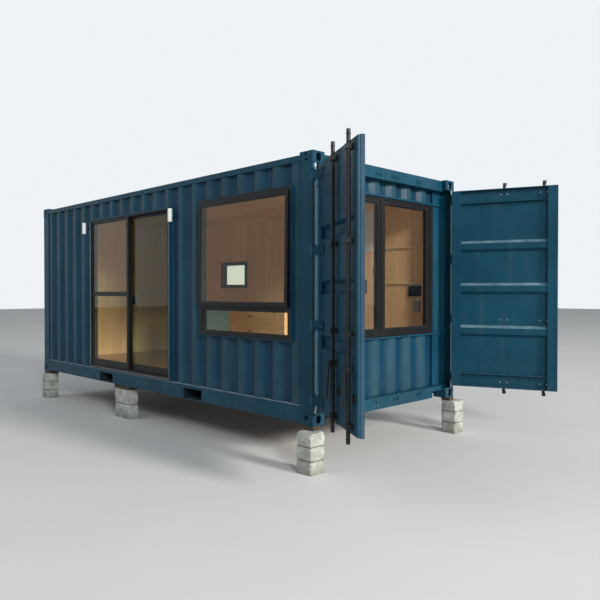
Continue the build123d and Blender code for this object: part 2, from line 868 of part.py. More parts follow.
# End window: frame with a middle mullion and a casement sash in each half
end_plane = Plane((infill_front + 5, 0, base), x_dir=(0, 1, 0), z_dir=(-1, 0, 0))
end_height = end_window_high - end_window_low
end_middle = -(end_window_low + end_height / 2)
half_light = (end_window_width - 2 * end_jamb - end_mullion) / 2
light_middle = (end_mullion + half_light) / 2
light_high = end_height - 2 * end_frame
end_sash = (half_light - 2 * end_sash_gap, light_high - touch_gap)
end_pane = (end_sash[0] - 2 * end_sash_bar, end_sash[1] - 2 * end_sash_bar)
with BuildPart() as end_window_frame:
    with BuildSketch(end_plane):
        with Locations((0, end_middle)):
            Rectangle(end_window_width, end_height)
        with Locations((-light_middle, end_middle), (light_middle, end_middle)):
            Rectangle(half_light, light_high, mode=Mode.SUBTRACT)
    extrude(amount=end_frame_depth)
save(end_window_frame, "end_window_frame")

with BuildPart() as end_window_sashes:
    for side in (-1, 1):
        centre = (side * light_middle, end_middle + touch_gap / 2)
        ring(end_plane.offset(6), centre, end_sash, end_pane, end_sash_depth)
save(end_window_sashes, "end_window_sashes")

with BuildPart() as end_window_flashings:
    flash_front = infill_front + flashing_proud
    flash_side = infill_side - 2
    slab(infill_front, flash_front, -flash_side, flash_side, end_window_low - 4, end_window_low - 1)
    slab(flash_front - 3, flash_front, -flash_side, flash_side, end_window_low - 4 - flashing_drop,
         end_window_low - 4)
    slab(infill_front, flash_front, -flash_side, flash_side, end_window_high + 1, end_window_high + 4)
    slab(flash_front - 3, flash_front, -flash_side, flash_side, end_window_high + 1 - flashing_drop,
         end_window_high + 1)
save(end_window_flashings, "end_window_flashings")

# Rear window over the bench
rear_plane = Plane((0, half_width - wall_inset + 6, 0), x_dir=(-1, 0, 0), z_dir=(0, -1, 0))
with BuildPart() as rear_window_frame:
    rear_size = (rear_window_right - rear_window_left, rear_window_high - rear_window_low)
    rear_middle = (-(rear_window_left + rear_window_right) / 2,
                   -base - (rear_window_low + rear_window_high) / 2)
    rear_clear = (rear_size[0] - 2 * rear_frame, rear_size[1] - 2 * rear_frame)
    ring(rear_plane, rear_middle, rear_size, rear_clear, rear_frame_depth)
save(rear_window_frame, "rear_window_frame")

# Fixed glass of the windows and of the fixed door panel
fixed_glass_left = fixed_left + panel_side_stile
with BuildPart() as window_glass:
    pane(fixed_glass_left, fixed_right - panel_stile, board_low + door_sill + track_rib + panel_bottom_rail,
         mid_low, outer_front + panel_depth / 2)
    pane(fixed_glass_left, fixed_right - panel_stile, mid_low + panel_mid_rail,
         door_top - door_head - panel_top_rail, outer_front + panel_depth / 2)
    pane(window_left + window_frame, window_right - window_frame, window_low + window_frame, transom_low,
         frame_back + lower_glass_back)
    with BuildSketch(sash_hinge.offset(-(sash_depth + glass) / 2)):
        with Locations(sash_middle):
            Rectangle(*sash_clear)
    extrude(amount=glass)
    with BuildSketch(end_plane.offset(6 + (end_sash_depth - glass) / 2)):
        with Locations(*[(side * light_middle, end_middle + touch_gap / 2) for side in (-1, 1)]):
            Rectangle(*end_pane)
    extrude(amount=glass)
    with BuildSketch(rear_plane.offset(rear_frame_depth / 2)):
        with Locations(rear_middle):
            Rectangle(*rear_clear)
    extrude(amount=glass)
save(window_glass, "window_glass")

# Kitchen bench along the rear wall: carcass and top, then its door and drawer fronts
bench_back = board_front
bench_front = bench_back - bench_depth
with BuildPart() as kitchen_bench:
    slab(bench_left, bench_right, bench_front + 3 * front_thickness, bench_back, board_low,
         board_low + bench_kick)
    slab(bench_left, bench_right, bench_front + front_thickness, bench_back, board_low + bench_kick,
         board_low + bench_height - bench_top)
    slab(bench_left - bench_overhang, bench_right + bench_overhang, bench_front - bench_overhang, bench_back,
         board_low + bench_height - bench_top, board_low + bench_height)
save(kitchen_bench, "kitchen_bench")

fronts_low = board_low + bench_kick + front_gap
fronts_high = board_low + bench_height - bench_top - front_gap
end_front = bench_right - end_front_width
with BuildPart() as bench_fronts:
    for left, right, low, high in (
        (bench_left, front_split, fronts_low, fronts_high),
        (front_split, end_front, fronts_high - drawer_height, fronts_high),
        (front_split, end_front, fronts_low, fronts_high - drawer_height - front_gap),
        (end_front, bench_right, fronts_low, fronts_high),
    ):
        slab(left + front_gap / 2, right - front_gap / 2, bench_front, bench_front + front_thickness,
             low, high)
save(bench_fronts, "bench_fronts")

# Wall lights either side of the sliding door: a plate in a valley of the wall, an arm and a round body
valley_face = front_side + wall_inset + side_depth
light_middle = light_low + light_height / 2
with BuildPart() as wall_lights:
    for valley in (left_light_valley, right_light_valley):
        place = valley * side_pitch
        slab(place - light_plate_width / 2, place + light_plate_width / 2,
             valley_face - light_plate, valley_face,
             light_low + light_arm, light_low + light_height - light_arm)
        slab(place - light_arm / 2, place + light_arm / 2,
             valley_face - light_stand, valley_face - light_plate,
             light_middle - light_arm, light_middle + light_arm)
        with BuildSketch(rising(light_low)):
            with Locations((place, valley_face - light_stand)):
                Circle(light_radius)
        extrude(amount=light_height)
save(wall_lights, "wall_lights")

# Piers of concrete blocks down to the lowest ground, with a packer on each
corner_piers = [(x, side * y) for x, y in ((blind_pier_x, blind_pier_y), (door_pier_x, door_pier_y))
                for side in (-1, 1)]
mid_pier_y = half_width - mid_pier_setback - mid_pier_width / 2
mid_piers = [(mid_pier_x, side * mid_pier_y) for side in (-1, 1)]
with BuildPart() as block_piers:
    with BuildSketch(Plane.XY):
        with Locations(*corner_piers):
            Rectangle(pier_width, pier_width)
        with Locations(*mid_piers):
            Rectangle(mid_pier_length, mid_pier_width)
    extrude(amount=pier_height)
save(block_piers, "block_piers")


def packer(x_range, y_range, top):
    """A pad on a pier's top, up to what it carries."""
    with BuildSketch(Plane.XY.offset(pier_height)) as outline:
        with Locations((sum(x_range) / 2, sum(y_range) / 2)):
            Rectangle(x_range[1] - x_range[0], y_range[1] - y_range[0])
    extrude(outline.sketch, amount=top - pier_height)


with BuildPart() as pier_packers:
    for x, y in corner_piers:
        end = math.copysign(1, x)
        side = math.copysign(1, y)
        outer_x = min(abs(x) + pier_width / 2, half_length)
        outer_y = min(abs(y) + pier_width / 2, half_width)
        inner_x = abs(x) - pier_width / 2
        inner_y = abs(y) - pier_width / 2
        packer(sorted((end * inner_x, end * outer_x)), sorted((side * inner_y, side * outer_y)), base)
    for x, y in mid_piers:
        packer((x - mid_pier_length / 2, x + mid_pier_length / 2),
               (y - mid_pier_width / 2, y + mid_pier_width / 2), base + bottom_rail_low)
save(pier_packers, "pier_packers")


def build_door(prefix, side, opened):
    """One container door, turned about its pins: side is 1 at the rear post and -1 at the front one."""
    turned = math.radians(opened - 90)
    along = (math.cos(turned), side * math.sin(turned), 0)
    leaf_plane = Plane((pin_x, side * pin_y, base), x_dir=along, z_dir=(0, 0, 1))
    face = pin_setback - door_setback
    inside = face - leaf_depth
    leaf_end = leaf_start + leaf_width

    def block_at(u0, u1, w0, w1, z0, z1, mode=Mode.ADD):
        """A straight piece: u along the leaf from the pin, w out of its outer face, z up."""
        with BuildSketch(leaf_plane.offset(z0)) as outline:
            with Locations(((u0 + u1) / 2, side * (w0 + w1) / 2)):
                Rectangle(u1 - u0, w1 - w0)
        extrude(outline.sketch, amount=z1 - z0, mode=mode)

    def section_plane(u):
        """The upright plane across the leaf at a place along it, x out of the face and y up."""
        return Plane(leaf_plane.from_local_coords((u, 0, 0)), x_dir=leaf_plane.y_dir, z_dir=leaf_plane.x_dir)

    def hollow_bar(u0, u1, w0, w1, z0, z1):
        with BuildSketch(leaf_plane.offset(z0)) as outline:
            with Locations(((u0 + u1) / 2, side * (w0 + w1) / 2)):
                Rectangle(u1 - u0, w1 - w0)
                Rectangle(u1 - u0 - 2 * leaf_plate, w1 - w0 - 2 * leaf_plate, mode=Mode.SUBTRACT)
        extrude(outline.sketch, amount=z1 - z0)

    # Leaf: hollow stiles, channels open inwards at top and bottom, and a sheet with pressed-in ribs
    with BuildPart() as leaf:
        hollow_bar(leaf_start, leaf_start + leaf_stile, inside, face, leaf_low, leaf_high)
        hollow_bar(leaf_end - leaf_stile, leaf_end, inside, face, leaf_low, leaf_high)
        u0 = leaf_start + leaf_stile
        u1 = leaf_end - leaf_stile
        for low in (leaf_low, leaf_high - leaf_rail):
            block_at(u0, u1, face - leaf_plate, face, low, low + leaf_rail)
            block_at(u0, u1, inside, face - leaf_plate, low, low + leaf_plate)
            block_at(u0, u1, inside, face - leaf_plate, low + leaf_rail - leaf_plate, low + leaf_rail)
        low = leaf_low + leaf_rail
        high = leaf_high - leaf_rail
        middle = (low + high) / 2
        back = face - leaf_plate - sheet
        ribs = []
        for number in (-1, 0, 1):
            centre = middle + number * leaf_rib_spacing
            top = leaf_rib_flat / 2 + leaf_rib_slope
            ribs += [(back, centre - top), (back - leaf_rib_depth, centre - leaf_rib_flat / 2)]
            ribs += [(back - leaf_rib_depth, centre + leaf_rib_flat / 2), (back, centre + top)]
        outline = [(back, low)] + ribs + [(back, high)]
        outline = outline + [(away + sheet, level) for away, level in reversed(outline)]
        with BuildSketch(section_plane(u0)):
            with BuildLine():
                Polyline(*[(side * away, level) for away, level in outline], close=True)
            make_face()
        extrude(amount=u1 - u0)
    save(leaf, f"{prefix}_door_leaf")

    # Rubber gasket round the leaf's edges, a little proud of the inner face
    with BuildPart() as gasket:
        gasket_plane = Plane(
            leaf_plane.from_local_coords((0, side * (inside - gasket_proud + 1), 0)),
            x_dir=leaf_plane.x_dir,
            z_dir=tuple(side * value for value in leaf_plane.y_dir),
        )
        up = gasket_plane.y_dir.Z
        centre = (leaf_start + leaf_width / 2, up * (leaf_low + leaf_high) / 2)
        leaf_size = (leaf_width, leaf_high - leaf_low)
        gasket_size = tuple(size + 2 * gasket_proud for size in leaf_size)
        ring(gasket_plane, centre, gasket_size, leaf_size, gasket_depth)
    save(gasket, f"{prefix}_door_gasket")

    # Hinges: a knuckle on the pin, a bent link and a blade on the leaf's outer face
    with BuildPart() as hinges:
        for level in hinge_heights:
            low = level - knuckle_height / 2
            with BuildSketch(leaf_plane.offset(low)):
                RegularPolygon(knuckle_radius, 8, major_radius=False)
                with BuildLine():
                    Polyline(
                        (0, side * knuckle_radius),
                        (leaf_start + 30, side * (face + hinge_blade)),
                        (leaf_start + hinge_blade_length, side * (face + hinge_blade)),
                        (leaf_start + hinge_blade_length, side * face),
                        (leaf_start, side * face),
                        (0, -side * knuckle_radius),
                        close=True,
                    )
                make_face()
                Circle(pin_radius + touch_gap, mode=Mode.SUBTRACT)
            extrude(amount=knuckle_height)
    save(hinges, f"{prefix}_door_hinges")

    # Guides that hold the lock rods off the leaf
    rod_w = face + rod_standoff
    with BuildPart() as guides:
        for place in rod_places:
            for level in guide_heights:
                with BuildSketch(leaf_plane.offset(level - guide_height / 2)):
                    reach = rod_standoff + guide_width / 2
                    with Locations((place, side * (face + reach / 2))):
                        Rectangle(guide_width, reach)
                    with Locations((place, side * (face + guide_foot / 2))):
                        Rectangle(guide_width + 2 * guide_ear, guide_foot)
                    slot = rod_radius + touch_gap
                    with Locations((place, side * rod_w)):
                        Circle(slot, mode=Mode.SUBTRACT)
                    with Locations((place, side * (face + guide_foot + rod_w) / 2)):
                        Rectangle(2 * slot, rod_w - face - guide_foot, mode=Mode.SUBTRACT)
                extrude(amount=guide_height)
    save(guides, f"{prefix}_door_rod_guides")

    # Lock rods: a bar, cams at both ends, and a handle that hangs from a hub
    for name, place in zip(("inner", "outer"), rod_places):
        with BuildPart() as rod:
            rod_low = cam_levels[0] - cam_height / 2
            rod_high = cam_levels[1] + cam_height / 2
            with BuildSketch(leaf_plane.offset(rod_low)):
                with Locations((place, side * rod_w)):
                    Circle(rod_radius)
            extrude(amount=rod_high - rod_low)
            for level in cam_levels:
                with BuildSketch(leaf_plane.offset(level - cam_height / 2)):
                    with Locations((place + cam_nose / 2, side * rod_w)):
                        Rectangle(cam_nose, cam_nose_width)
                extrude(amount=cam_height)
            hub_low = handle_hub_height - handle_hub / 2
            with BuildSketch(leaf_plane.offset(hub_low)):
                clamp = 2 * (rod_radius + 6)
                with Locations((place, side * rod_w)):
                    Rectangle(clamp, clamp)
                with Locations((place, side * (rod_w + handle_reach / 2))):
                    Rectangle(handle_width, handle_reach)
            extrude(amount=handle_hub)
            grip = rod_w + handle_reach
            hang = handle_hub_height - handle_length
            with BuildSketch(section_plane(place - handle_width / 2)):
                with BuildLine():
                    Polyline(
                        *[(side * away, level) for away, level in (
                            (grip - handle_bar, handle_hub_height + handle_hub / 2),
                            (grip, handle_hub_height + handle_hub / 2),
                            (grip + 22, hang),
                            (grip + 22 - handle_bar, hang),
                        )],
                        close=True,
                    )
                make_face()
            extrude(amount=handle_width)
        save(rod, f"{prefix}_{name}_lock_rod")


build_door("left", -1, left_open)
build_door("right", 1, right_open)
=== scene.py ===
import json
import math
import random

import bmesh
import bpy
from mathutils import Matrix, Vector

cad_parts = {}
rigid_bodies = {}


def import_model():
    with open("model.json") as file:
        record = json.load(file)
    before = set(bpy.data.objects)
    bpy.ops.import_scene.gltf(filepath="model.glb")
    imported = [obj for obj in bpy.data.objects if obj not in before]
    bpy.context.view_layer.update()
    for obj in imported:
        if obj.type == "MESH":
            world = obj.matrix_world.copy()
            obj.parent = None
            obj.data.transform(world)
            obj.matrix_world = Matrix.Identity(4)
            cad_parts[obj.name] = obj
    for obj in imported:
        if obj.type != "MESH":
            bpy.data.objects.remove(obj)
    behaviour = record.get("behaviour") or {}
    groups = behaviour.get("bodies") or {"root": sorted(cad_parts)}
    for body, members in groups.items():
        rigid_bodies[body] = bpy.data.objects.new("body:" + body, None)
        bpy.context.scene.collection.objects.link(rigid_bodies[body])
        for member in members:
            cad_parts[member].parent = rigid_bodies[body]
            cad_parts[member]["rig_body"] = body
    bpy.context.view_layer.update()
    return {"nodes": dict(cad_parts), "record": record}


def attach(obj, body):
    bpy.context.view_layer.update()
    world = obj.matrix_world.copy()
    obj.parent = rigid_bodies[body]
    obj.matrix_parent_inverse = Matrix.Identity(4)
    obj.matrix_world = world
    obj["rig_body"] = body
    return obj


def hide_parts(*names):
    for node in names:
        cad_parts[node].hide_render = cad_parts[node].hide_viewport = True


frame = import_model()
nodes = frame["nodes"]
SLOTS = {part["node"]: part["material_slot"] for part in frame["record"]["subparts"]}
rng = random.Random(41)

# The row's origin is under one pier. These are the container's own middle seen from it, in metres.
MIDDLE_X = -3.009
MIDDLE_Y = 1.229
BASE = 0.43

# Places in millimetres from the container's middle, heights above the underside of its castings
GROUND = -BASE * 1000
CEILING = 2420
LINING_FACE = 1136
END_LINING = 2814
BLIND_LINING = -2833
REAR_WINDOW_GAP = (-1500, -650)

# The container's doors: along a leaf from its pin, out of its outer face, and up
PIN_X = 3010
PIN_Y = 1198
LEAF_FACE = -45
LEAF_BACK = -95
LEAF_PLATE = 4
LEAF_SHEET = 2
LEAF_LOW = 155
LEAF_HIGH = 2451
LEAF_START = 25
LEAF_END = 1187
ROD_FRONT = -15
ROD_PLACES = {"inner": 610, "outer": 1042}
CAM_LEVELS = (LEAF_LOW - 60, LEAF_HIGH + 60)
CAM_HALF = 15
HUB_LEVEL = 665
CATCH_LEVEL = 435
OPENED = {"left": 121.5, "right": 111.0}
SIDES = {"left": -1, "right": 1}


def at(x, y, z):
    """A point given in metres from the container's middle, in the row frame."""
    return Vector((x + MIDDLE_X, y + MIDDLE_Y, z))


CABIN = Matrix.Translation((MIDDLE_X, MIDDLE_Y, BASE)) @ Matrix.Scale(0.001, 4)


def door_directions(prefix):
    """Directions along a container door from its pin and out of its outer face, at rest."""
    side = SIDES[prefix]
    turned = math.radians(OPENED[prefix] - 90)
    along = Vector((math.cos(turned), side * math.sin(turned), 0))
    return along, Vector((-side * along.y, side * along.x, 0))


def door_space(prefix):
    """Millimetres along a container door from its pin, out of its outer face, and up."""
    along, out = door_directions(prefix)
    space = Matrix.Identity(4)
    for row in range(3):
        space[row][0] = along[row]
        space[row][1] = out[row]
    pin = CABIN @ Vector((PIN_X, SIDES[prefix] * PIN_Y, 0))
    return Matrix.Translation(pin) @ space @ Matrix.Scale(0.001, 4)


def spread(low, high, count):
    return [low + (high - low) * number / (count - 1) for number in range(count)]


HINGES = spread(LEAF_LOW + 92, LEAF_HIGH - 92, 4)
GUIDES = spread(LEAF_LOW + 60, LEAF_HIGH - 60, 4)

# Materials


def linear(value):
    value = value / 255
    return value / 12.92 if value <= 0.04045 else ((value + 0.055) / 1.055) ** 2.4


def colour(r, g, b):
    return (linear(r), linear(g), linear(b), 1.0)


class Nodes:
    """Short ways to build a node material."""

    def __init__(self, name):
        self.material = bpy.data.materials.new(name)
        self.material.use_nodes = True
        self.tree = self.material.node_tree
        self.shader = self.tree.nodes["Principled BSDF"]
        coordinates = self.tree.nodes.new("ShaderNodeTexCoord")
        self.place = coordinates.outputs["Object"]
        self.normal = coordinates.outputs["Normal"]

    def add(self, kind, **settings):
        node = self.tree.nodes.new(kind)
        for key, value in settings.items():
            setattr(node, key, value)
        return node

    def link(self, a, b):
        self.tree.links.new(a, b)

    def feed(self, socket, value):
        if isinstance(value, (float, int, tuple)):
            socket.default_value = value
        else:
            self.link(value, socket)

    def mapped(self, scale):
        node = self.add("ShaderNodeMapping")
        node.inputs["Scale"].default_value = scale
        self.link(self.place, node.inputs["Vector"])
        return node.outputs["Vector"]

    def noise(self, scale, detail, rough, vector=None, distortion=0.0):
        node = self.add("ShaderNodeTexNoise")
        node.inputs["Scale"].default_value = scale
        node.inputs["Detail"].default_value = detail
        node.inputs["Roughness"].default_value = rough
        node.inputs["Distortion"].default_value = distortion
        self.link(vector or self.place, node.inputs["Vector"])
        return node.outputs["Fac"]

    def cells(self, scale, vector=None):
        node = self.add("ShaderNodeTexVoronoi")
        node.inputs["Scale"].default_value = scale
        self.link(vector or self.place, node.inputs["Vector"])
        return node.outputs["Distance"]

    def ramp(self, value, *stops):
        node = self.add("ShaderNodeValToRGB")
        while len(node.color_ramp.elements) < len(stops):
            node.color_ramp.elements.new(0.5)
        for element, (place, shade) in zip(node.color_ramp.elements, stops):
            element.position = place
            element.color = shade if len(shade) == 4 else (*shade, 1.0)
        self.link(value, node.inputs["Fac"])
        return node.outputs["Color"]

    def grey(self, value, low, high, dark=0.0, light=1.0):
        """The value's share of the way from low to high, as a number from dark to light."""
        node = self.add("ShaderNodeMapRange")
        for socket, number in zip(("From Min", "From Max", "To Min", "To Max"), (low, high, dark, light)):
            node.inputs[socket].default_value = number
        self.link(value, node.inputs["Value"])
        return node.outputs["Result"]

    def mix(self, factor, a, b, blend="MIX"):
        node = self.add("ShaderNodeMix", data_type="RGBA", blend_type=blend)
        for socket, value in ((node.inputs[0], factor), (node.inputs[6], a), (node.inputs[7], b)):
            self.feed(socket, value)
        return node.outputs[2]

    def math(self, operation, a, b=0.0):
        node = self.add("ShaderNodeMath", operation=operation)
        for socket, value in zip(node.inputs, (a, b)):
            self.feed(socket, value)
        return node.outputs[0]

    def part(self, axis, vector=None):
        node = self.add("ShaderNodeSeparateXYZ")
        self.link(vector or self.place, node.inputs[0])
        return node.outputs[axis]

    def bump(self, height, strength, distance):
        node = self.add("ShaderNodeBump")
        node.inputs["Strength"].default_value = strength
        node.inputs["Distance"].default_value = distance
        self.link(height, node.inputs["Height"])
        self.link(node.outputs["Normal"], self.shader.inputs["Normal"])

    def set(self, **values):
        names = {"base": "Base Color", "rough": "Roughness", "metal": "Metallic", "coat": "Coat Weight",
                 "coat_rough": "Coat Roughness", "ior": "IOR", "level": "Specular IOR Level",
                 "glass": "Transmission Weight"}
        for key, value in values.items():
            self.feed(self.shader.inputs[names[key]], value)


# Shades of wear on the container's paint, and painted shade and highlights on it
# Chalk on the ridges of pressed walls, which also stands as painted highlight on them
CHALK_AND_HIGHLIGHT = (0.16, 0.19, 0.18, 1.0)
# Painted shade in the valleys of pressed walls
VALLEY_SHADE = (0.62, 0.74, 0.84, 1.0)
RAIN_STREAK = (0.13, 0.16, 0.16, 1.0)
SOIL = (0.12, 0.12, 0.09, 1.0)
SCUFF = (0.14, 0.19, 0.21, 1.0)
RUST = (0.11, 0.045, 0.02, 1.0)
# Pale dust on a door leaf's upward slopes, which also stands as painted highlight of light from above
DUST_AND_HIGHLIGHT = (0.34, 0.48, 0.56, 1.0)
# A pale painted highlight on the hinge pins, the posts' narrow faces and the bottom rails' upper edge
PAINTED_HIGHLIGHT = (0.44, 0.52, 0.58, 1.0)


def painted_steel(name, main, rough=0.42, dirt=0.35, streaks=0.12, peel=0.12,
                  ridges=None, bright=None, outward=None):
    """Sprayed container paint: a drift of shade, rain streaks, dust low down, rust spots, faint dents.

    Pressed walls are chalky on their ridges and darkened in their valleys: ridges gives the axis and both
    depths. The valleys' darkening is painted shade, and the ridges' chalk is partly painted highlight.
    bright gives the share of a pale painted highlight from the material's nodes. A door leaf with its
    outward direction at rest has pale dust on the upward slopes of its inner face, partly painted highlight.
    """
    n = Nodes(name)
    dark = tuple(value * 0.84 for value in main[:3])
    light = tuple(value * 1.14 + 0.002 for value in main[:3])
    shade = n.ramp(n.noise(1.7, 3.0, 0.6), (0.32, dark), (0.68, light))
    # Ridges are lightened, partly as painted highlight, and valleys are darkened as painted shade
    if ridges:
        axis, outer, inner = ridges
        depth = n.grey(n.part(axis), outer, inner)
        ridge = n.mix(0.07, shade, CHALK_AND_HIGHLIGHT)
        shaded_valley = n.mix(1.0, shade, VALLEY_SHADE, "MULTIPLY")
        shade = n.mix(depth, ridge, shaded_valley)
    lines = n.noise(9.0, 5.0, 0.65, n.mapped((1.0, 1.0, 0.09)))
    shade = n.mix(n.grey(lines, 0.52, 0.76, 0.0, streaks), shade, RAIN_STREAK)
    low = n.grey(n.part("Z"), 1.0, 0.40, 0.0, 1.0)
    patchy = n.noise(14.0, 6.0, 0.7)
    splash = n.math("MULTIPLY", low, n.grey(patchy, 0.50, 0.78, 0.0, dirt))
    shade = n.mix(splash, shade, SOIL)
    scuffs = n.noise(46.0, 7.0, 0.75, n.mapped((1.0, 1.0, 2.4)), 0.8)
    shade = n.mix(n.grey(scuffs, 0.70, 0.78, 0.0, 0.35), shade, SCUFF)
    spots = n.math("MULTIPLY", n.grey(n.noise(120.0, 2.0, 0.5), 0.70, 0.76, 0.0, 1.0),
                   n.grey(n.noise(3.1, 3.0, 0.6), 0.56, 0.66, 0.0, 0.5))
    shade = n.mix(spots, shade, RUST)
    # Pale on the upward slopes of a leaf's inner face: dust, and partly a painted highlight of light from
    # above
    if outward:
        facing = n.add("ShaderNodeVectorMath", operation="DOT_PRODUCT")
        n.link(n.normal, facing.inputs[0])
        facing.inputs[1].default_value = outward
        dust = n.grey(n.noise(6.0, 5.0, 0.7), 0.34, 0.66, 0.15, 0.42)
        dust = n.math("MULTIPLY", dust, n.grey(n.part("Z", n.normal), 0.3, 0.6))
        dust = n.math("MULTIPLY", dust, n.grey(facing.outputs["Value"], 0.05, -0.05))
        shade = n.mix(dust, shade, DUST_AND_HIGHLIGHT)
    # A pale painted highlight where the material's nodes say
    if bright:
        shade = n.mix(bright(n), shade, PAINTED_HIGHLIGHT)
    n.set(base=shade, level=0.16, rough=n.grey(n.noise(22.0, 4.0, 0.6), 0.3, 0.7, rough - 0.07, rough + 0.10))
    dents = n.math("MULTIPLY", n.noise(2.6, 2.0, 0.4), 6.0)
    n.bump(n.math("ADD", dents, n.noise(260.0, 2.0, 0.5)), peel, 0.001)
    return n.material


# The painted highlight fades out from 12 to 13.5 mm off a pin's middle or off the middle of the post's narrow
# face
HIGHLIGHT_FADE = (0.0135, 0.0120)
NARROW_FACE = 0.024
NARROW_FACE_FRONT = (0.0115, 0.0125)


# Mask of the painted highlight on the hinge pins and the post's narrow face
def near_pins(n):
    """One on the hinge pins and on the narrow face of the post beside them, nought elsewhere."""
    across = n.math("SUBTRACT", n.math("ABSOLUTE", n.math("SUBTRACT", n.part("Y"), MIDDLE_Y)), PIN_Y / 1000)
    along = n.math("SUBTRACT", n.part("X"), MIDDLE_X + PIN_X / 1000)
    away = n.math("SQRT", n.math("ADD", n.math("POWER", across, 2.0), n.math("POWER", along, 2.0)))
    beside = n.math("ABSOLUTE", n.math("ADD", across, NARROW_FACE))
    narrow = n.math("MULTIPLY", n.grey(beside, *HIGHLIGHT_FADE), n.grey(n.part("X"), *NARROW_FACE_FRONT))
    return n.math("MAXIMUM", n.grey(away, *HIGHLIGHT_FADE), narrow)


# Mask of the painted highlight along the bottom rails' upper edge
def top_edge(n):
    """A half along the upper edge of the bottom rails, nought elsewhere."""
    return n.grey(n.part("Z"), BASE + 0.178, BASE + 0.182, 0.0, 0.5)


def plywood(name, base_light, base_dark, along="z", rough=0.48, coat=0.15):
    """Rotary-cut plywood face: long wandering grain, a few small knots and a satin finish."""
    n = Nodes(name)
    squeeze = {"z": (1.0, 1.0, 0.055), "x": (0.055, 1.0, 1.0)}[along]
    vector = n.mapped(squeeze)
    fine = n.noise(150.0, 3.0, 0.6, vector)
    mixed = n.math("ADD", n.math("MULTIPLY", n.noise(16.0, 8.0, 0.62, vector, 2.2), 0.55),
                   n.math("MULTIPLY", n.noise(2.2, 3.0, 0.5, vector, 1.0), 0.30))
    mixed = n.math("ADD", mixed, n.math("MULTIPLY", fine, 0.15))
    middle = tuple((a + b) / 2 for a, b in zip(base_light, base_dark))
    shade = n.ramp(mixed, (0.36, base_dark[:3]), (0.50, middle[:3]), (0.62, base_light[:3]))
    less_squeezed = n.mapped(tuple(0.4 if value < 1 else 1.0 for value in squeeze))
    knot = n.math("MULTIPLY", n.grey(n.cells(2.3, less_squeezed), 0.05, 0.02), 0.7)
    shade = n.mix(knot, shade, tuple(value * 0.35 for value in base_dark[:3]) + (1.0,))
    n.set(base=shade, rough=rough, coat=coat, coat_rough=0.35)
    n.bump(fine, 0.05, 0.001)
    return n.material


def plain(name, main, rough=0.5, metal=0.0, grain=120.0, drift=0.10, bump=0.06, coat=0.0, level=0.5):
    """A coated or bare surface with a little drift in shade and gloss."""
    n = Nodes(name)
    dark = tuple(value * (1 - drift) for value in main[:3])
    light = tuple(min(1.0, value * (1 + drift) + 0.002) for value in main[:3])
    shade = n.ramp(n.noise(6.0, 5.0, 0.6), (0.3, dark), (0.7, light))
    n.set(base=shade, metal=metal, coat=coat, level=level,
          rough=n.grey(n.noise(35.0, 4.0, 0.6), 0.3, 0.7, max(0.05, rough - 0.06), rough + 0.08))
    n.bump(n.noise(grain, 3.0, 0.6), bump, 0.001)
    return n.material


# Shades of a cement block's pores and of its damp foot
PORE = (0.10, 0.10, 0.09, 1.0)
DAMP = (0.10, 0.105, 0.075, 1.0)


def concrete(name, main):
    """Cement block: speckled grey with open pores, damp near the ground and a rough face."""
    n = Nodes(name)
    dark = tuple(value * 0.62 for value in main[:3])
    light = tuple(min(1.0, value * 1.22) for value in main[:3])
    base = n.ramp(n.noise(9.0, 6.0, 0.65), (0.34, dark), (0.66, light))
    base = n.mix(n.grey(n.noise(190.0, 3.0, 0.7), 0.35, 0.65, 0.0, 0.45), base, PORE, "MULTIPLY")
    damp = n.math("MULTIPLY", n.grey(n.part("Z"), 0.16, 0.0),
                  n.grey(n.noise(11.0, 4.0, 0.6), 0.3, 0.7, 0.3, 0.9))
    base = n.mix(damp, base, DAMP)
    hole = n.grey(n.cells(95.0), 0.10, 0.42)
    height = n.math("ADD", n.math("MULTIPLY", hole, 0.6), n.math("MULTIPLY", n.noise(60.0, 6.0, 0.7), 0.8))
    n.set(base=base, rough=0.92)
    n.bump(height, 0.55, 0.006)
    return n.material


# Tints of the fixed glass. Its stops are shares of the way along X between the two places of GLASS_SPAN.
# The door's pane is darkened and warmed as painted shade of the room behind it; the end window's is almost
# clear, and the side window's green is the glass's own.
GLASS_SPAN = (-4.5, 0.0)
DOOR_PANE_SHADE = (0.80, 0.83, 0.64, 1.0)
SIDE_TINT = (0.87, 0.90, 0.88, 1.0)
END_TINT = (0.98, 0.97, 0.94, 1.0)
GLASS_STOPS = ((0.28, DOOR_PANE_SHADE), (0.29, SIDE_TINT), (0.93, SIDE_TINT), (0.94, END_TINT))
# The sliding panel's glass is darkened as painted shade of the room behind it
SLIDING_PANE_SHADE = (0.36, 0.47, 0.38, 1.0)


def window_glass(name, tint=None, stops=()):
    """Glass that lets lamp light through to the room behind it, in one tint or in tints at stops along X."""
    n = Nodes(name)
    if stops:
        tint = n.ramp(n.grey(n.part("X"), *GLASS_SPAN), *stops)
    n.set(base=tint, rough=0.0, glass=1.0, ior=1.25)
    clear = n.add("ShaderNodeBsdfTransparent")
    n.feed(clear.inputs["Color"], tint)
    ray = n.add("ShaderNodeLightPath")
    mixer = n.add("ShaderNodeMixShader")
    through = n.math("MAXIMUM", ray.outputs["Is Shadow Ray"], ray.outputs["Is Diffuse Ray"])
    n.link(through, mixer.inputs[0])
    n.link(n.shader.outputs[0], mixer.inputs[1])
    n.link(clear.outputs[0], mixer.inputs[2])
    n.link(mixer.outputs[0], n.tree.nodes["Material Output"].inputs["Surface"])
    return n.material


# Each pressed wall's axis with the places of its ridges and of its valleys on it, in metres in the row frame
FRONT_RIDGES = ("Y", 0.022, 0.058)
REAR_RIDGES = ("Y", 2.436, 2.400)
END_RIDGES = ("X", -0.124, -0.160)
BLIND_RIDGES = ("X", -6.020, -5.974)

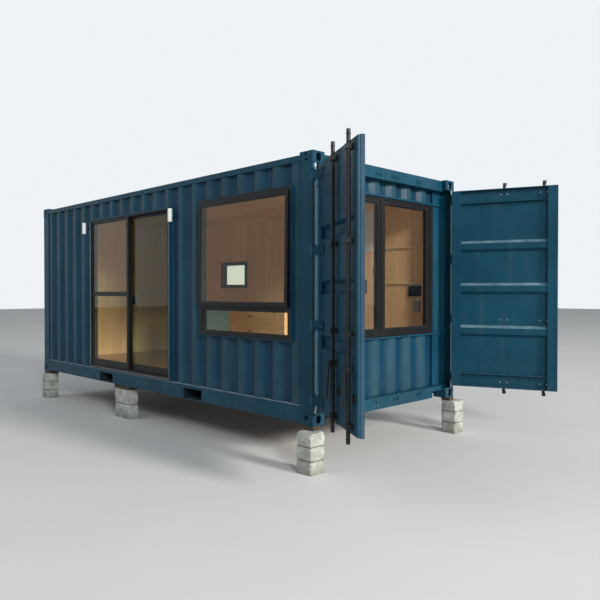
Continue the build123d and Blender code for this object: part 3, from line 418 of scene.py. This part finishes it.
TEAL = colour(9, 59, 78)
paint = painted_steel("container_paint_m", TEAL)
front_paint = painted_steel("front_wall_paint_m", TEAL, ridges=FRONT_RIDGES)
rear_paint = painted_steel("rear_wall_paint_m", TEAL, ridges=REAR_RIDGES)
end_paint = painted_steel("end_wall_paint_m", TEAL, ridges=END_RIDGES)
blind_paint = painted_steel("blind_wall_paint_m", TEAL, ridges=BLIND_RIDGES)
left_leaf_paint = painted_steel("left_leaf_paint_m", TEAL, outward=door_directions("left")[1])
right_leaf_paint = painted_steel("right_leaf_paint_m", TEAL, outward=door_directions("right")[1])
# The posts get a painted highlight on their pins and narrow faces, the bottom rails along their upper edge
post_paint = painted_steel("post_paint_m", TEAL, bright=near_pins)
rail_paint = painted_steel("rail_paint_m", TEAL, bright=top_edge)
roof_paint = painted_steel("roof_paint_m", TEAL, streaks=0.35, rough=0.5)
paint_under = painted_steel("underframe_paint_m", colour(24, 36, 42), rough=0.6, dirt=0.7, streaks=0.3)
black_paint = plain("rod_paint_m", colour(8, 9, 10), rough=0.45, drift=0.25, level=0.3)
bronze = plain("window_bronze_m", colour(20, 20, 21), rough=0.42, drift=0.12, grain=400.0, level=0.2)
glass_clear = window_glass("glass_m", stops=GLASS_STOPS)
shaded_glass = window_glass("shaded_glass_m", SLIDING_PANE_SHADE)
ply_wall = plywood("ply_wall_m", colour(238, 203, 158), colour(211, 166, 120))
ply_floor = plywood("ply_floor_m", colour(196, 146, 92), colour(146, 98, 56), along="x", coat=0.4, rough=0.35)
ply_ceiling = plywood("ply_ceiling_m", colour(230, 194, 142), colour(196, 148, 96), along="x")
ply_bench = plywood("ply_bench_m", colour(240, 202, 150), colour(208, 158, 104), along="x", coat=0.3,
                    rough=0.35)
ply_edge = plywood("ply_edge_m", colour(232, 204, 158), colour(206, 168, 118), along="x", coat=0.2)
# The bench's teal is raised pale as painted light of sun falling on the bench, over its own teal colour
sunlit_teal_board = plain("bench_teal_m", colour(158, 208, 222), rough=0.42, drift=0.14, coat=0.2)
rubber = plain("gasket_rubber_m", colour(24, 25, 26), rough=0.75, grain=300.0, bump=0.15)
painted_rubber = painted_steel("painted_gasket_m", colour(30, 60, 78), rough=0.6, peel=0.3)
white_shell = plain("white_plastic_m", colour(226, 226, 222), rough=0.35, drift=0.04, coat=0.2)
white_sheet = plain("white_sheet_m", colour(214, 214, 208), rough=0.4, drift=0.05)
lamp_lens = plain("lamp_lens_m", colour(238, 236, 226), rough=0.2, drift=0.02, coat=0.6)
bright_metal = plain("pull_metal_m", colour(178, 180, 180), rough=0.3, metal=0.9, grain=500.0)
dull_zinc = plain("zinc_m", colour(132, 136, 138), rough=0.45, metal=0.7, drift=0.2, grain=300.0)
black_plastic = plain("black_plastic_m", colour(16, 17, 18), rough=0.5, drift=0.1, level=0.3)
block_face = concrete("concrete_m", colour(194, 197, 188))
mortar_face = concrete("mortar_m", colour(136, 134, 126))
packer_wood = plywood("packer_m", colour(74, 62, 48), colour(44, 36, 29), along="x", rough=0.8, coat=0.0)

# The finish of each slot, and of the nodes whose names start as given and that look different from their slot
SLOT_FINISH = {
    "container_paint": paint, "underframe_paint": paint_under, "rod_paint": black_paint,
    "window_bronze": bronze, "glass": glass_clear, "plywood": ply_wall, "bench_teal": ply_bench,
    "gasket_rubber": painted_rubber, "white_plastic": white_shell, "pull_metal": bright_metal,
    "concrete": block_face, "timber_packer": packer_wood,
}
OWN_FINISH = {
    "front_wall": front_paint, "rear_wall": rear_paint, "end_wall_window": end_paint,
    "blind_end": blind_paint, "roof_panel": roof_paint, "corner_posts": post_paint,
    "bottom_rails": rail_paint, "left_door_leaf": left_leaf_paint, "right_door_leaf": right_leaf_paint,
    "sliding_door_glass": shaded_glass, "floor_deck": ply_floor, "ceiling_lining": ply_ceiling,
    "kitchen_bench": ply_bench,
}
FINISH = {}
for name, slot in SLOTS.items():
    own = [finish for start, finish in OWN_FINISH.items() if name.startswith(start)]
    FINISH[name] = own[0] if own else SLOT_FINISH[slot]
for name, node in nodes.items():
    node.data.materials.clear()
    node.data.materials.append(FINISH[name])

# Rounding the solids' edges

# Degrees between two faces: a pressed sheet's bends start at BENT and sharp edges at SHARP, no edge reaches
# BEYOND, and an edge under SMOOTH is shaded as round
BENT = 12
SHARP = 55
BEYOND = 181
SMOOTH = 35
# Metres: how far apart two points count as one, the rounding of a sheet's bends and of a plate's edges
MERGED = 0.00002
SHEET_BEND = 0.004
PLATE_EDGE = 0.0012


def edge_angle(edge):
    return math.degrees(edge.calc_face_angle(0.0)) if len(edge.link_faces) == 2 else 0.0


def rounded(bm, edges, offset, segments):
    bmesh.ops.bevel(bm, geom=edges, offset=offset, offset_type="OFFSET", segments=segments, profile=0.5,
                    affect="EDGES", clamp_overlap=True)


def new_piece(name, bm, body, material):
    """A mesh piece on a body, smooth over its rounded edges and flat on its large faces."""
    mesh = bpy.data.meshes.new(name)
    bm.to_mesh(mesh)
    bm.free()
    mesh.shade_smooth()
    mesh.set_sharp_from_angle(angle=math.radians(SMOOTH))
    piece = bpy.data.objects.new(name, mesh)
    bpy.context.scene.collection.objects.link(piece)
    mesh.materials.append(material)
    weigh = piece.modifiers.new("weigh", "WEIGHTED_NORMAL")
    weigh.keep_sharp = True
    weigh.weight = 90
    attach(piece, body)
    return piece


def refined(name, width, segments=2, bend=0.0):
    """A copy of a CAD node, standing for it, with its edges rounded as folded or rolled steel is.

    Its sharp edges are rounded by width, and the gentler bends of a pressed sheet by bend.
    """
    source = nodes[name]
    bm = bmesh.new()
    bm.from_mesh(source.data)
    bmesh.ops.remove_doubles(bm, verts=bm.verts, dist=MERGED)
    for offset, start, end, steps in ((bend, BENT, SHARP, 3), (width, SHARP, BEYOND, segments)):
        edges = [edge for edge in bm.edges if start < edge_angle(edge) <= end]
        if offset and edges:
            rounded(bm, edges, offset, steps)
    piece = new_piece(name + "_v", bm, source["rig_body"], FINISH[name])
    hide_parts(name)


for name in ("front_wall_sides", "front_wall_over_door", "front_wall_window_bays", "rear_wall_sides",
             "rear_wall_window_bays", "end_wall_window_bays", "blind_end_wall"):
    refined(name, 0.0, bend=SHEET_BEND)
for name in ("corner_posts", "top_rails", "door_header", "door_sill_beam", "opening_trims", "end_wall_sides",
             "end_window_flashings"):
    refined(name, PLATE_EDGE)
for prefix in SIDES:
    refined(prefix + "_door_leaf", PLATE_EDGE, bend=0.003)
    refined(prefix + "_door_hinges", 0.0015)
refined("roof_panel", 0.0, bend=SHEET_BEND)
refined("bottom_rails", 0.004, 3)
refined("corner_castings", 0.005, 3)
for name in ("side_window_frame", "side_window_sash", "end_window_frame", "end_window_sashes",
             "sliding_door_frame", "fixed_door_panel", "sliding_door_panel", "rear_window_frame"):
    refined(name, PLATE_EDGE)

# Small parts, gathered into one mesh each


class Parts:
    """Small solids in millimetres in one space, gathered into one mesh piece."""

    def __init__(self, space=CABIN):
        self.bm = bmesh.new()
        self.space = space

    def block(self, x0, x1, y0, y1, z0, z1, soft, segments=2):
        """A block between two corners, in any order, with its edges rounded by soft."""
        made = bmesh.ops.create_cube(self.bm, size=1.0)["verts"]
        middle = Vector((x0 + x1, y0 + y1, z0 + z1)) / 2
        size = Vector((abs(x1 - x0), abs(y1 - y0), abs(z1 - z0)))
        for vert in made:
            vert.co = middle + vert.co * size
        edges = list({edge for vert in made for edge in vert.link_edges})
        rounded(self.bm, edges, min(soft, 0.45 * min(size)), segments)

    def turned(self, start, axis, profile, sides):
        """A turned solid: pairs of distance along the axis and radius, closed at its ends."""
        start = Vector(start)
        axis = Vector(axis).normalized()
        across = axis.orthogonal().normalized()
        other = axis.cross(across)
        rings = []
        for away, radius in profile:
            ring = []
            for number in range(sides):
                turn = 2 * math.pi * (number + 0.5) / sides
                spoke = across * math.cos(turn) + other * math.sin(turn)
                ring.append(self.bm.verts.new(start + axis * away + spoke * radius))
            rings.append(ring)
        for low, high in zip(rings, rings[1:]):
            for number in range(sides):
                after = (number + 1) % sides
                self.bm.faces.new((low[number], low[after], high[after], high[number]))
        self.bm.faces.new(rings[0])
        self.bm.faces.new(rings[-1])

    def bolt(self, place, axis, across, high):
        """A washer with a hexagon head on it, standing off a face."""
        self.turned(place, axis, ((-0.5, across * 0.62), (1.6, across * 0.62), (2.0, across * 0.56)), 16)
        reach = across / math.sqrt(3)
        self.turned(place, axis, ((1.5, reach), (high - 1.2, reach), (high, reach * 0.86)), 6)

    def dome(self, place, axis, radius, high):
        """A rivet or screw head."""
        self.turned(place, axis, ((-0.3, radius), (high * 0.4, radius * 0.92), (high, radius * 0.45)), 8)

    def border(self, u0, u1, z0, z1, near, far, width, across="y"):
        """Four bars inside an upright rectangle that is set across y, or across x in the end wall."""
        uprights = [(u0, u0 + width, z0, z1), (u1 - width, u1, z0, z1)]
        levels = [(u0 + width, u1 - width, low, low + width) for low in (z0, z1 - width)]
        for a, b, low, high in uprights + levels:
            spans = (a, b, near, far) if across == "y" else (near, far, a, b)
            self.block(*spans, low, high, 0.8, 1)

    def done(self, name, body, material, replaces=()):
        bmesh.ops.transform(self.bm, matrix=self.space, verts=self.bm.verts)
        bmesh.ops.recalc_face_normals(self.bm, faces=self.bm.faces)
        piece = new_piece(name, self.bm, body, material)
        for node in replaces:
            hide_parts(node)


# Bolts, nuts, handle catches, hub pins, rod collars and gasket strips of the container's doors

for prefix in SIDES:
    space = door_space(prefix)
    body = prefix + "_container_door"
    bolts = Parts(space)
    for level in HINGES:
        for u in (92, 140, 188):
            for away in (-24, 24):
                bolts.bolt((u, LEAF_FACE + 10, level + away), (0, 1, 0), 17, 8)
    bolts.done(prefix + "_hinge_bolts", body, paint)

    # The outer guides' nuts sit on the leaf's rails, the others on the sheet behind its plate
    guide_bolts = Parts(space)
    nuts = Parts(space)
    painted_nuts = Parts(space)
    for u in ROD_PLACES.values():
        for number, level in enumerate(GUIDES):
            # Nuts at three levels are pale zinc, partly a painted highlight of sun glinting on them; those at
            # the third level are painted like the leaf
            nut_row_piece = painted_nuts if number == 2 else nuts
            seat = LEAF_FACE - LEAF_PLATE - (0 if number in (0, 3) else LEAF_SHEET)
            for away in (-37, 37):
                guide_bolts.bolt((u + away, LEAF_FACE + 6, level), (0, 1, 0), 15, 7)
                nut_row_piece.bolt((u + away, seat, level), (0, -1, 0), 15, 9)
    guide_bolts.done(prefix + "_guide_bolts", body, black_paint)
    nuts.done(prefix + "_guide_nuts", body, dull_zinc)
    painted_nuts.done(prefix + "_painted_nuts", body, paint)

    catches = Parts(space)
    for u in ROD_PLACES.values():
        catches.block(u + 26, u + 106, LEAF_FACE, LEAF_FACE + 4, CATCH_LEVEL - 40, CATCH_LEVEL + 40, 1.2)
        catches.block(u + 50, u + 84, LEAF_FACE + 4, LEAF_FACE + 8, CATCH_LEVEL - 15, CATCH_LEVEL + 17, 1.2)
        for away in (36, 96):
            catches.dome((u + away, LEAF_FACE + 4, CATCH_LEVEL), (0, 1, 0), 5, 3)
    catches.done(prefix + "_handle_catches", body, black_paint)

    for rod, u in ROD_PLACES.items():
        pins = Parts(space)
        pins.turned((u - 23, ROD_FRONT + 26, HUB_LEVEL), (1, 0, 0),
                    ((0, 4), (1, 6.5), (5, 6.5), (41, 6.5), (45, 6.5), (46, 4)), 12)
        for level in (CAM_LEVELS[0] + CAM_HALF, CAM_LEVELS[1] - CAM_HALF - 9):
            pins.turned((u, ROD_FRONT, level), (0, 0, 1), ((0, 18), (1.5, 19.5), (7.5, 19.5), (9, 18)), 20)
        pins.done(f"{prefix}_{rod}_rod_collars", f"{prefix}_{rod}_rod", black_paint)

    strips = Parts(space)
    strip_face = LEAF_BACK - 2.5
    for low, high in ((LEAF_START + 4, LEAF_START + 26), (LEAF_END - 26, LEAF_END - 4)):
        strips.block(low, high, strip_face, LEAF_BACK, LEAF_LOW + 4, LEAF_HIGH - 4, 0.8, 1)
        for level in spread(LEAF_LOW + 60, LEAF_HIGH - 60, 14):
            strips.dome(((low + high) / 2, strip_face, level), (0, -1, 0), 4, 2)
    for low in (LEAF_LOW, LEAF_HIGH - 4):
        strips.block(LEAF_START + 100, LEAF_END - 100, strip_face, LEAF_BACK, low, low + 4, 0.8, 1)
    strips.done(prefix + "_gasket_strips", body, paint)

# Latch on the inner face of the left leaf, thin enough to clear the end window when the leaf is shut

leaf_latch = Parts(door_space("left"))
leaf_latch.block(1146, 1191, LEAF_BACK - 7, LEAF_BACK - 1, 1236, 1372, 2.5)
leaf_latch.block(1160, 1191, LEAF_BACK - 22, LEAF_BACK - 5, 1252, 1356, 3, 3)
for level in (1244, 1364):
    leaf_latch.dome((1153, LEAF_BACK - 7, level), (0, -1, 0), 4, 2)
leaf_latch.done("left_door_latch", "left_container_door", black_plastic)

# Pin heads on the posts' lugs, keeper plates on the header and the sill

heads = Parts()
for side in (-1, 1):
    for level in HINGES:
        for start, up in ((level + 57, 1), (level - 57, -1)):
            heads.turned((PIN_X, side * PIN_Y, start), (0, 0, up), ((-0.5, 14), (3.5, 14), (5, 12)), 20)
heads.done("hinge_pin_heads", "cabin", paint)

keeper_plates = Parts()
keeper_back = PIN_X + LEAF_FACE
for side in (-1, 1):
    for u in ROD_PLACES.values():
        y = side * (PIN_Y - u)
        for level in CAM_LEVELS:
            keeper_plates.block(keeper_back, keeper_back + 3, y - 58, y + 58, level - 30, level + 30, 1.0, 1)
            for away in (-48, 48):
                for rise in (-19, 19):
                    keeper_plates.dome((keeper_back + 3, y + away, level + rise), (1, 0, 0), 5.5, 3.5)
keeper_plates.done("keeper_plates", "cabin", paint)

# Glazing gaskets and beads

# The fixed door panel's two panes, the side window's lower one and the rear window's: x and z limits and y
PANES = (
    (-1368, -423, 310, 1214, -1191),
    (-1368, -423, 1260, 2228, -1191),
    (1312, 2707, 836, 1070, -1230),
    (-1350, -775, 1375, 1710, 1163),
)
END_PANE_WIDTH = 816
END_PANE_LEVELS = (858.5, 2222)
seals = Parts()
beads = Parts()
for x0, x1, z0, z1, y in PANES:
    for near, far in ((y - 3, y - 7), (y + 3, y + 7)):
        seals.border(x0, x1, z0, z1, near, far, 5)
    beads.border(x0, x1, z0, z1, y + 7, y + 12, 9)
for side in (-1, 1):
    y0 = side * 470 - END_PANE_WIDTH / 2
    for near, far in ((2870, 2874), (2860, 2864)):
        seals.border(y0, y0 + END_PANE_WIDTH, *END_PANE_LEVELS, near, far, 5, across="x")
    beads.border(y0, y0 + END_PANE_WIDTH, *END_PANE_LEVELS, 2853, 2860, 9, across="x")
seals.done("window_seals", "cabin", rubber)
beads.done("window_beads", "cabin", bronze)

# The side window's sash hangs from its top edge and stands 0.9 degrees open

sash_space = CABIN @ Matrix.Translation((0, -1242, 2246)) @ Matrix.Rotation(math.radians(-0.9), 4, "X")
sash_seals = Parts(sash_space)
for near, far in ((-18, -14), (-8, -4)):
    sash_seals.border(1320, 2699, -1093, -38, near, far, 5)
sash_seals.done("side_sash_seals", "cabin", rubber)
sash_beads = Parts(sash_space)
sash_beads.border(1320, 2699, -1093, -38, -4.5, -0.5, 10)
sash_beads.border(1282, 2737, -1131, 0, -23, -21.5, 4)
sash_beads.done("side_sash_beads", "cabin", bronze)

door_seals = Parts()
for near, far in ((-1158, -1154), (-1148, -1144)):
    door_seals.border(-373, 511, 310.5, 2223, near, far, 5)
door_seals.done("sliding_door_seals", "sliding_panel", rubber)

# Handles of the end window's sashes and stays of the side window's

handles = Parts()
for y in (-62, 62):
    handles.block(2843, 2850, y - 12, y + 12, 1480, 1560, 3)
    handles.turned((2843, y, 1535), (-1, 0, 0), ((0, 9), (16, 9), (18, 7)), 16)
    handles.block(2820, 2832, y - 8, y + 8, 1430, 1545, 4, 3)
for x in (1560, 2460):
    handles.block(x - 9, x + 9, -1238, -1214, 1096, 1108, 2)
    handles.block(x - 45, x + 45, -1214, -1206, 1094, 1112, 3)
handles.done("window_handles", "cabin", black_plastic)

# The sliding panel's latch and lever, and the pale strips along the sill and the edges of the door's opening

panel_latch = Parts()
panel_latch.block(-405, -305, -1136, -1133, 1102, 1218, 1.2)
panel_latch.block(-400, -310, -1133.5, -1114, 1112, 1208, 3)
panel_latch.turned((-378, -1114.5, 1182), (0, 1, 0), ((0, 9), (5, 9), (6.5, 7)), 20)
for x in (-398, -312):
    for z in (1107, 1213):
        panel_latch.dome((x, -1133, z), (0, 1, 0), 3, 1.5)
panel_latch.done("sliding_door_latch", "sliding_panel", dull_zinc)
lever = Parts()
lever.turned((-340, -1115, 1134), (0, 1, 0), ((0, 9), (8, 9)), 20)
lever.block(-348, -332, -1109, -1100, 1010, 1142, 3)
lever.done("sliding_door_lever", "sliding_panel", black_plastic)
edge_strips = Parts()
edge_strips.block(-1384, 566, -1218, -1211.5, 200.5, 209, 1.2)
edge_strips.block(-1410, 614, -1225, -1219, 200.5, 206, 1.0)
for x in (-1413, 611):
    edge_strips.block(x, x + 6, -1225, -1219, 206, 2270, 1.0)
edge_strips.done("door_edge_strips", "cabin", dull_zinc)

# Wall lights: a turned body with a lens at each end, on an arm and a plate

LIGHT_PROFILE = (
    (0, 22), (0, 25), (3, 27.5), (38, 27.8), (39, 26.3), (42, 26.3), (43, 27.8), (115, 27.8), (116, 26.3),
    (119, 26.3), (120, 27.8), (155, 27.5), (158, 25), (158, 22),
)
LIGHT_LOW = 2099
lights = Parts()
lenses = Parts()
brackets = Parts()
for x in (-1529, 695):
    y = -1255
    lights.turned((x, y, LIGHT_LOW), (0, 0, 1), LIGHT_PROFILE, 32)
    for level, up in ((LIGHT_LOW - 0.7, 1), (LIGHT_LOW + 158.7, -1)):
        lenses.turned((x, y, level), (0, 0, up), ((0, 19), (1.5, 21), (4, 21)), 24)
    brackets.block(x - 30, x + 30, -1179, -1171, 2122, 2234, 3)
    brackets.block(x - 12, x + 12, -1232, -1178, 2154, 2202, 4, 3)
    for level in (2134, 2222):
        brackets.dome((x, -1179, level), (0, -1, 0), 4, 2)
brackets.done("wall_light_brackets", "cabin", paint)
lights.done("wall_light_bodies", "cabin", white_shell, ["wall_lights"])
lenses.done("wall_light_lenses", "cabin", lamp_lens)

# Screws along the plywood's edges, and strips over the ceiling's joints

SCREW_LEVELS = spread(260, 2360, 9)
screws = Parts()
for x in (-2700, -2100, -1480, 690, 1180, 2790):
    for z in SCREW_LEVELS:
        for side in (-1, 1):
            if side < 0 or not REAR_WINDOW_GAP[0] < x < REAR_WINDOW_GAP[1]:
                screws.dome((x, side * LINING_FACE, z), (0, -side, 0), 4.5, 0.8)
for y in (-1000, -520, -60, 60, 520, 1000):
    for z in SCREW_LEVELS:
        screws.dome((BLIND_LINING, y, z), (1, 0, 0), 4.5, 0.8)
for y in (-1120, -1000, 1000, 1120):
    for z in SCREW_LEVELS:
        screws.dome((END_LINING, y, z), (-1, 0, 0), 4.5, 0.8)
screws.done("lining_screws", "cabin", dull_zinc)

CEILING_START = -2846.5
CEILING_SHEET = 1417.75
cover_strips = Parts()
for number in (1, 2, 3):
    x = CEILING_START + number * CEILING_SHEET
    cover_strips.block(x - 20, x + 20, 2 - LINING_FACE, LINING_FACE - 2, CEILING - 6, CEILING, 1.5)
for side in (-1, 1):
    cover_strips.block(BLIND_LINING + 3, END_LINING - 3, side * (LINING_FACE - 1), side * (LINING_FACE - 19),
                       CEILING - 18, CEILING, 1.5)
cover_strips.done("ceiling_strips", "cabin", ply_edge)

# Bench fronts: a teal door, a drawer over a cupboard front, and a narrow end front

BENCH_FACE = 576
BENCH_BACK = 594
teal_door = Parts()
teal_door.block(-1118, -492, BENCH_FACE, BENCH_BACK, 294, 1066, 2.0)
teal_door.done("bench_teal_door", "cabin", sunlit_teal_board, ["bench_fronts"])
fronts = Parts()
for x0, x1, z0, z1 in ((-488, 522, 736, 1066), (-488, 522, 294, 732), (526, 738, 294, 1066)):
    fronts.block(x0, x1, BENCH_FACE, BENCH_BACK, z0, z1, 2.0)
fronts.done("bench_wood_fronts", "cabin", ply_bench)
knobs = Parts()
for x, z in ((17, 905), (17, 690), (-560, 980), (560, 980)):
    knobs.turned((x, BENCH_FACE, z), (0, -1, 0), ((0, 7), (12, 6), (15, 14), (22, 16), (26, 14), (27, 9)), 20)
knobs.done("bench_knobs", "cabin", black_plastic)

# Narrow shelves, a switch box, a socket box and a white panel on the rear wall

shelves = Parts()
for x0, x1, z in ((2069, 2594, 1830), (2136, 2590, 1375)):
    shelves.block(x0, x1, 1086, LINING_FACE, z - 9, z + 9, 1.5)
    shelves.block(x0 + 12, x1 - 12, 1119, LINING_FACE, z - 31, z - 8, 1.5)
shelves.done("wall_shelves", "cabin", ply_edge)
for name, x0, x1, z0, z1, material in (("switch_box", 2456, 2617, 1208, 1341, black_plastic),
                                       ("socket_box", 2528, 2602, 1022, 1150, dull_zinc)):
    boxes = Parts()
    boxes.block(x0, x1, 1090, LINING_FACE, z0, z1, 5, 3)
    boxes.block(x0 + 14, x1 - 14, 1086, 1092, z0 + 14, z1 - 14, 3)
    for x in (x0 + 7, x1 - 7):
        boxes.dome((x, 1090, (z0 + z1) / 2), (0, -1, 0), 3, 1.5)
    boxes.done(name, "cabin", material)
panel = Parts()
panel.block(1709, 1846, 1112, LINING_FACE, 1794, 2324, 4, 3)
panel.block(1724, 1831, 1109, 1113, 1812, 2306, 2)
panel.done("wall_panel", "cabin", white_sheet)

# Block piers: courses of blocks with mortar between them, each block a little rough and chipped

PIER_HEIGHT = 390
PIER_HALF = 95
MID_PIER_HALF = 70
CHIP_DEPTH = 13
EDGE = 0.499
blocks = Parts()
mortar = Parts()


def rough_block(x0, x1, y0, y1, z0, z1):
    """One concrete block: its faces wander inwards by up to a few millimetres and its corners are chipped."""
    bm = bmesh.new()
    bmesh.ops.create_cube(bm, size=1.0)
    bmesh.ops.subdivide_edges(bm, edges=bm.edges, cuts=9, use_grid_fill=True)
    middle = Vector((x0 + x1, y0 + y1, z0 + z1)) / 2
    size = Vector((x1 - x0, y1 - y0, z1 - z0))
    ends = (-0.5, 0.5)
    chips = [Vector([rng.choice(ends) for axis in range(3)]) for chip in range(3)]
    chips += [Vector((rng.choice(ends), rng.choice(ends), rng.uniform(-0.4, 0.4))) for chip in range(4)]
    reach = [rng.uniform(0.06, 0.16) for chip in chips]
    for vert in bm.verts:
        unit = vert.co.copy()
        rims = sum(abs(value) > EDGE for value in unit)
        inset = rng.uniform(0.0, 1.3) + (rng.uniform(1.5, 3.5) if rims > 1 else 0.0)
        for chip, far in zip(chips, reach):
            near = (unit - chip).length
            if near < far:
                inset += (1 - near / far) * CHIP_DEPTH
        place = middle + unit * size
        for axis in range(3):
            grounded = axis == 2 and unit.z < 0 and z0 == GROUND
            if abs(unit[axis]) > EDGE and not grounded:
                place[axis] -= math.copysign(inset, unit[axis])
        vert.co = place
    mesh = bpy.data.meshes.new("one_block")
    bm.to_mesh(mesh)
    bm.free()
    blocks.bm.from_mesh(mesh)
    bpy.data.meshes.remove(mesh)


def pier(x0, x1, y0, y1, courses, joint):
    """Courses of blocks from the ground up, between mortar joints set back from the faces."""
    tall = (PIER_HEIGHT - joint * (courses - 1)) / courses
    for course in range(courses):
        start = GROUND + course * (tall + joint)
        rough_block(x0, x1, y0, y1, start, start + tall)
        if course:
            mortar.block(x0 + 6, x1 - 6, y0 + 6, y1 - 6, start - joint - 3, start + 3, 2.0)


for x, reach in ((-2914, 1169), (3009, 1229)):
    for y in (-reach, reach):
        pier(x - PIER_HALF, x + PIER_HALF, y - PIER_HALF, y + PIER_HALF, 3, 8)
for y in (-1129, 1129):
    pier(-765, -375, y - MID_PIER_HALF, y + MID_PIER_HALF, 2, 10)
blocks.done("pier_blocks", "cabin", block_face, ["block_piers"])
mortar.done("pier_mortar", "cabin", mortar_face)

# Trim and drip strip round the rear window

rear_trim = Parts()
rear_trim.border(-1400, -725, 1325, 1760, 1207, 1211, 30)
rear_trim.block(-1402, -723, 1206, 1213, 1757, 1763, 1.5)
rear_trim.done("rear_window_trim", "cabin", paint)

# Stage, lamps and camera

stage_floor = bpy.data.objects.new("stage_floor", bpy.data.meshes.new("stage_floor"))
bm = bmesh.new()
bmesh.ops.create_grid(bm, x_segments=1, y_segments=1, size=60)
bm.to_mesh(stage_floor.data)
bm.free()
stage = Nodes("stage_m")
ground_shade = stage.ramp(stage.noise(0.6, 3.0, 0.5), (0.3, (0.62, 0.63, 0.62)), (0.7, (0.66, 0.66, 0.65)))
stage.set(base=ground_shade, rough=0.9)
stage_floor.data.materials.append(stage.material)
bpy.context.scene.collection.objects.link(stage_floor)

# The world lights with one shade, and shows another to the camera, in gloss and through glass
world = bpy.data.worlds.new("studio")
bpy.context.scene.world = world
world.use_nodes = True
tree = world.node_tree
background = tree.nodes["Background"]
background.inputs["Color"].default_value = (0.90, 0.95, 1.0, 1.0)
background.inputs["Strength"].default_value = 0.36
seen = tree.nodes.new("ShaderNodeBackground")
seen.inputs["Color"].default_value = (0.86, 0.89, 0.92, 1.0)
seen.inputs["Strength"].default_value = 1.0
ray = tree.nodes.new("ShaderNodeLightPath")
shown = ray.outputs["Is Camera Ray"]
for kind in ("Is Glossy Ray", "Is Transmission Ray"):
    either = tree.nodes.new("ShaderNodeMath")
    either.operation = "MAXIMUM"
    tree.links.new(shown, either.inputs[0])
    tree.links.new(ray.outputs[kind], either.inputs[1])
    shown = either.outputs[0]
pick = tree.nodes.new("ShaderNodeMixShader")
tree.links.new(shown, pick.inputs[0])
tree.links.new(background.outputs[0], pick.inputs[1])
tree.links.new(seen.outputs[0], pick.inputs[2])
tree.links.new(pick.outputs[0], tree.nodes["World Output"].inputs["Surface"])


def aimed(thing, look):
    """Turn a lamp or the camera so that it looks along a direction."""
    thing.rotation_euler = look.to_track_quat("-Z", "Y").to_euler()


def area_lamp(name, place, target, size, power, shade):
    lamp = bpy.data.lights.new(name, "AREA")
    lamp.shape = "DISK"
    lamp.size = size
    lamp.energy = power
    lamp.color = shade
    piece = bpy.data.objects.new(name, lamp)
    bpy.context.scene.collection.objects.link(piece)
    piece.location = place
    aimed(piece, target - place)


area_lamp("key", at(33.0, 1.2, 12.5), at(2.0, 0, 1.4), 6.0, 11000, (1.0, 0.96, 0.90))
area_lamp("graze", at(26.0, -13.0, 11.0), at(0, -1.2, 1.4), 5.0, 3900, (0.95, 0.98, 1.0))
area_lamp("fill", at(-8.0, -18.0, 20.0), at(0, 0, 1.4), 14.0, 650, (0.92, 0.97, 1.0))

# The photo's camera, solved from the castings' corners, with the lens in pixels of a picture 600 pixels wide
YAW = math.radians(45.275)
PITCH = math.radians(-0.746)
LENS_PIXELS = 627.66
PICTURE_PIXELS = 600
SENSOR = 36.0
camera = bpy.data.objects.new("camera", bpy.data.cameras.new("camera"))
bpy.context.scene.collection.objects.link(camera)
camera.location = at(7.1034, -5.4233, BASE + 1.2653)
aimed(camera, Vector((-math.sin(YAW) * math.cos(PITCH), math.cos(YAW) * math.cos(PITCH), math.sin(PITCH))))
camera.data.sensor_width = SENSOR
camera.data.lens = LENS_PIXELS / PICTURE_PIXELS * SENSOR
camera.data.clip_end = 300.0
bpy.context.scene.camera = camera
bpy.context.scene.view_settings.view_transform = "Standard"
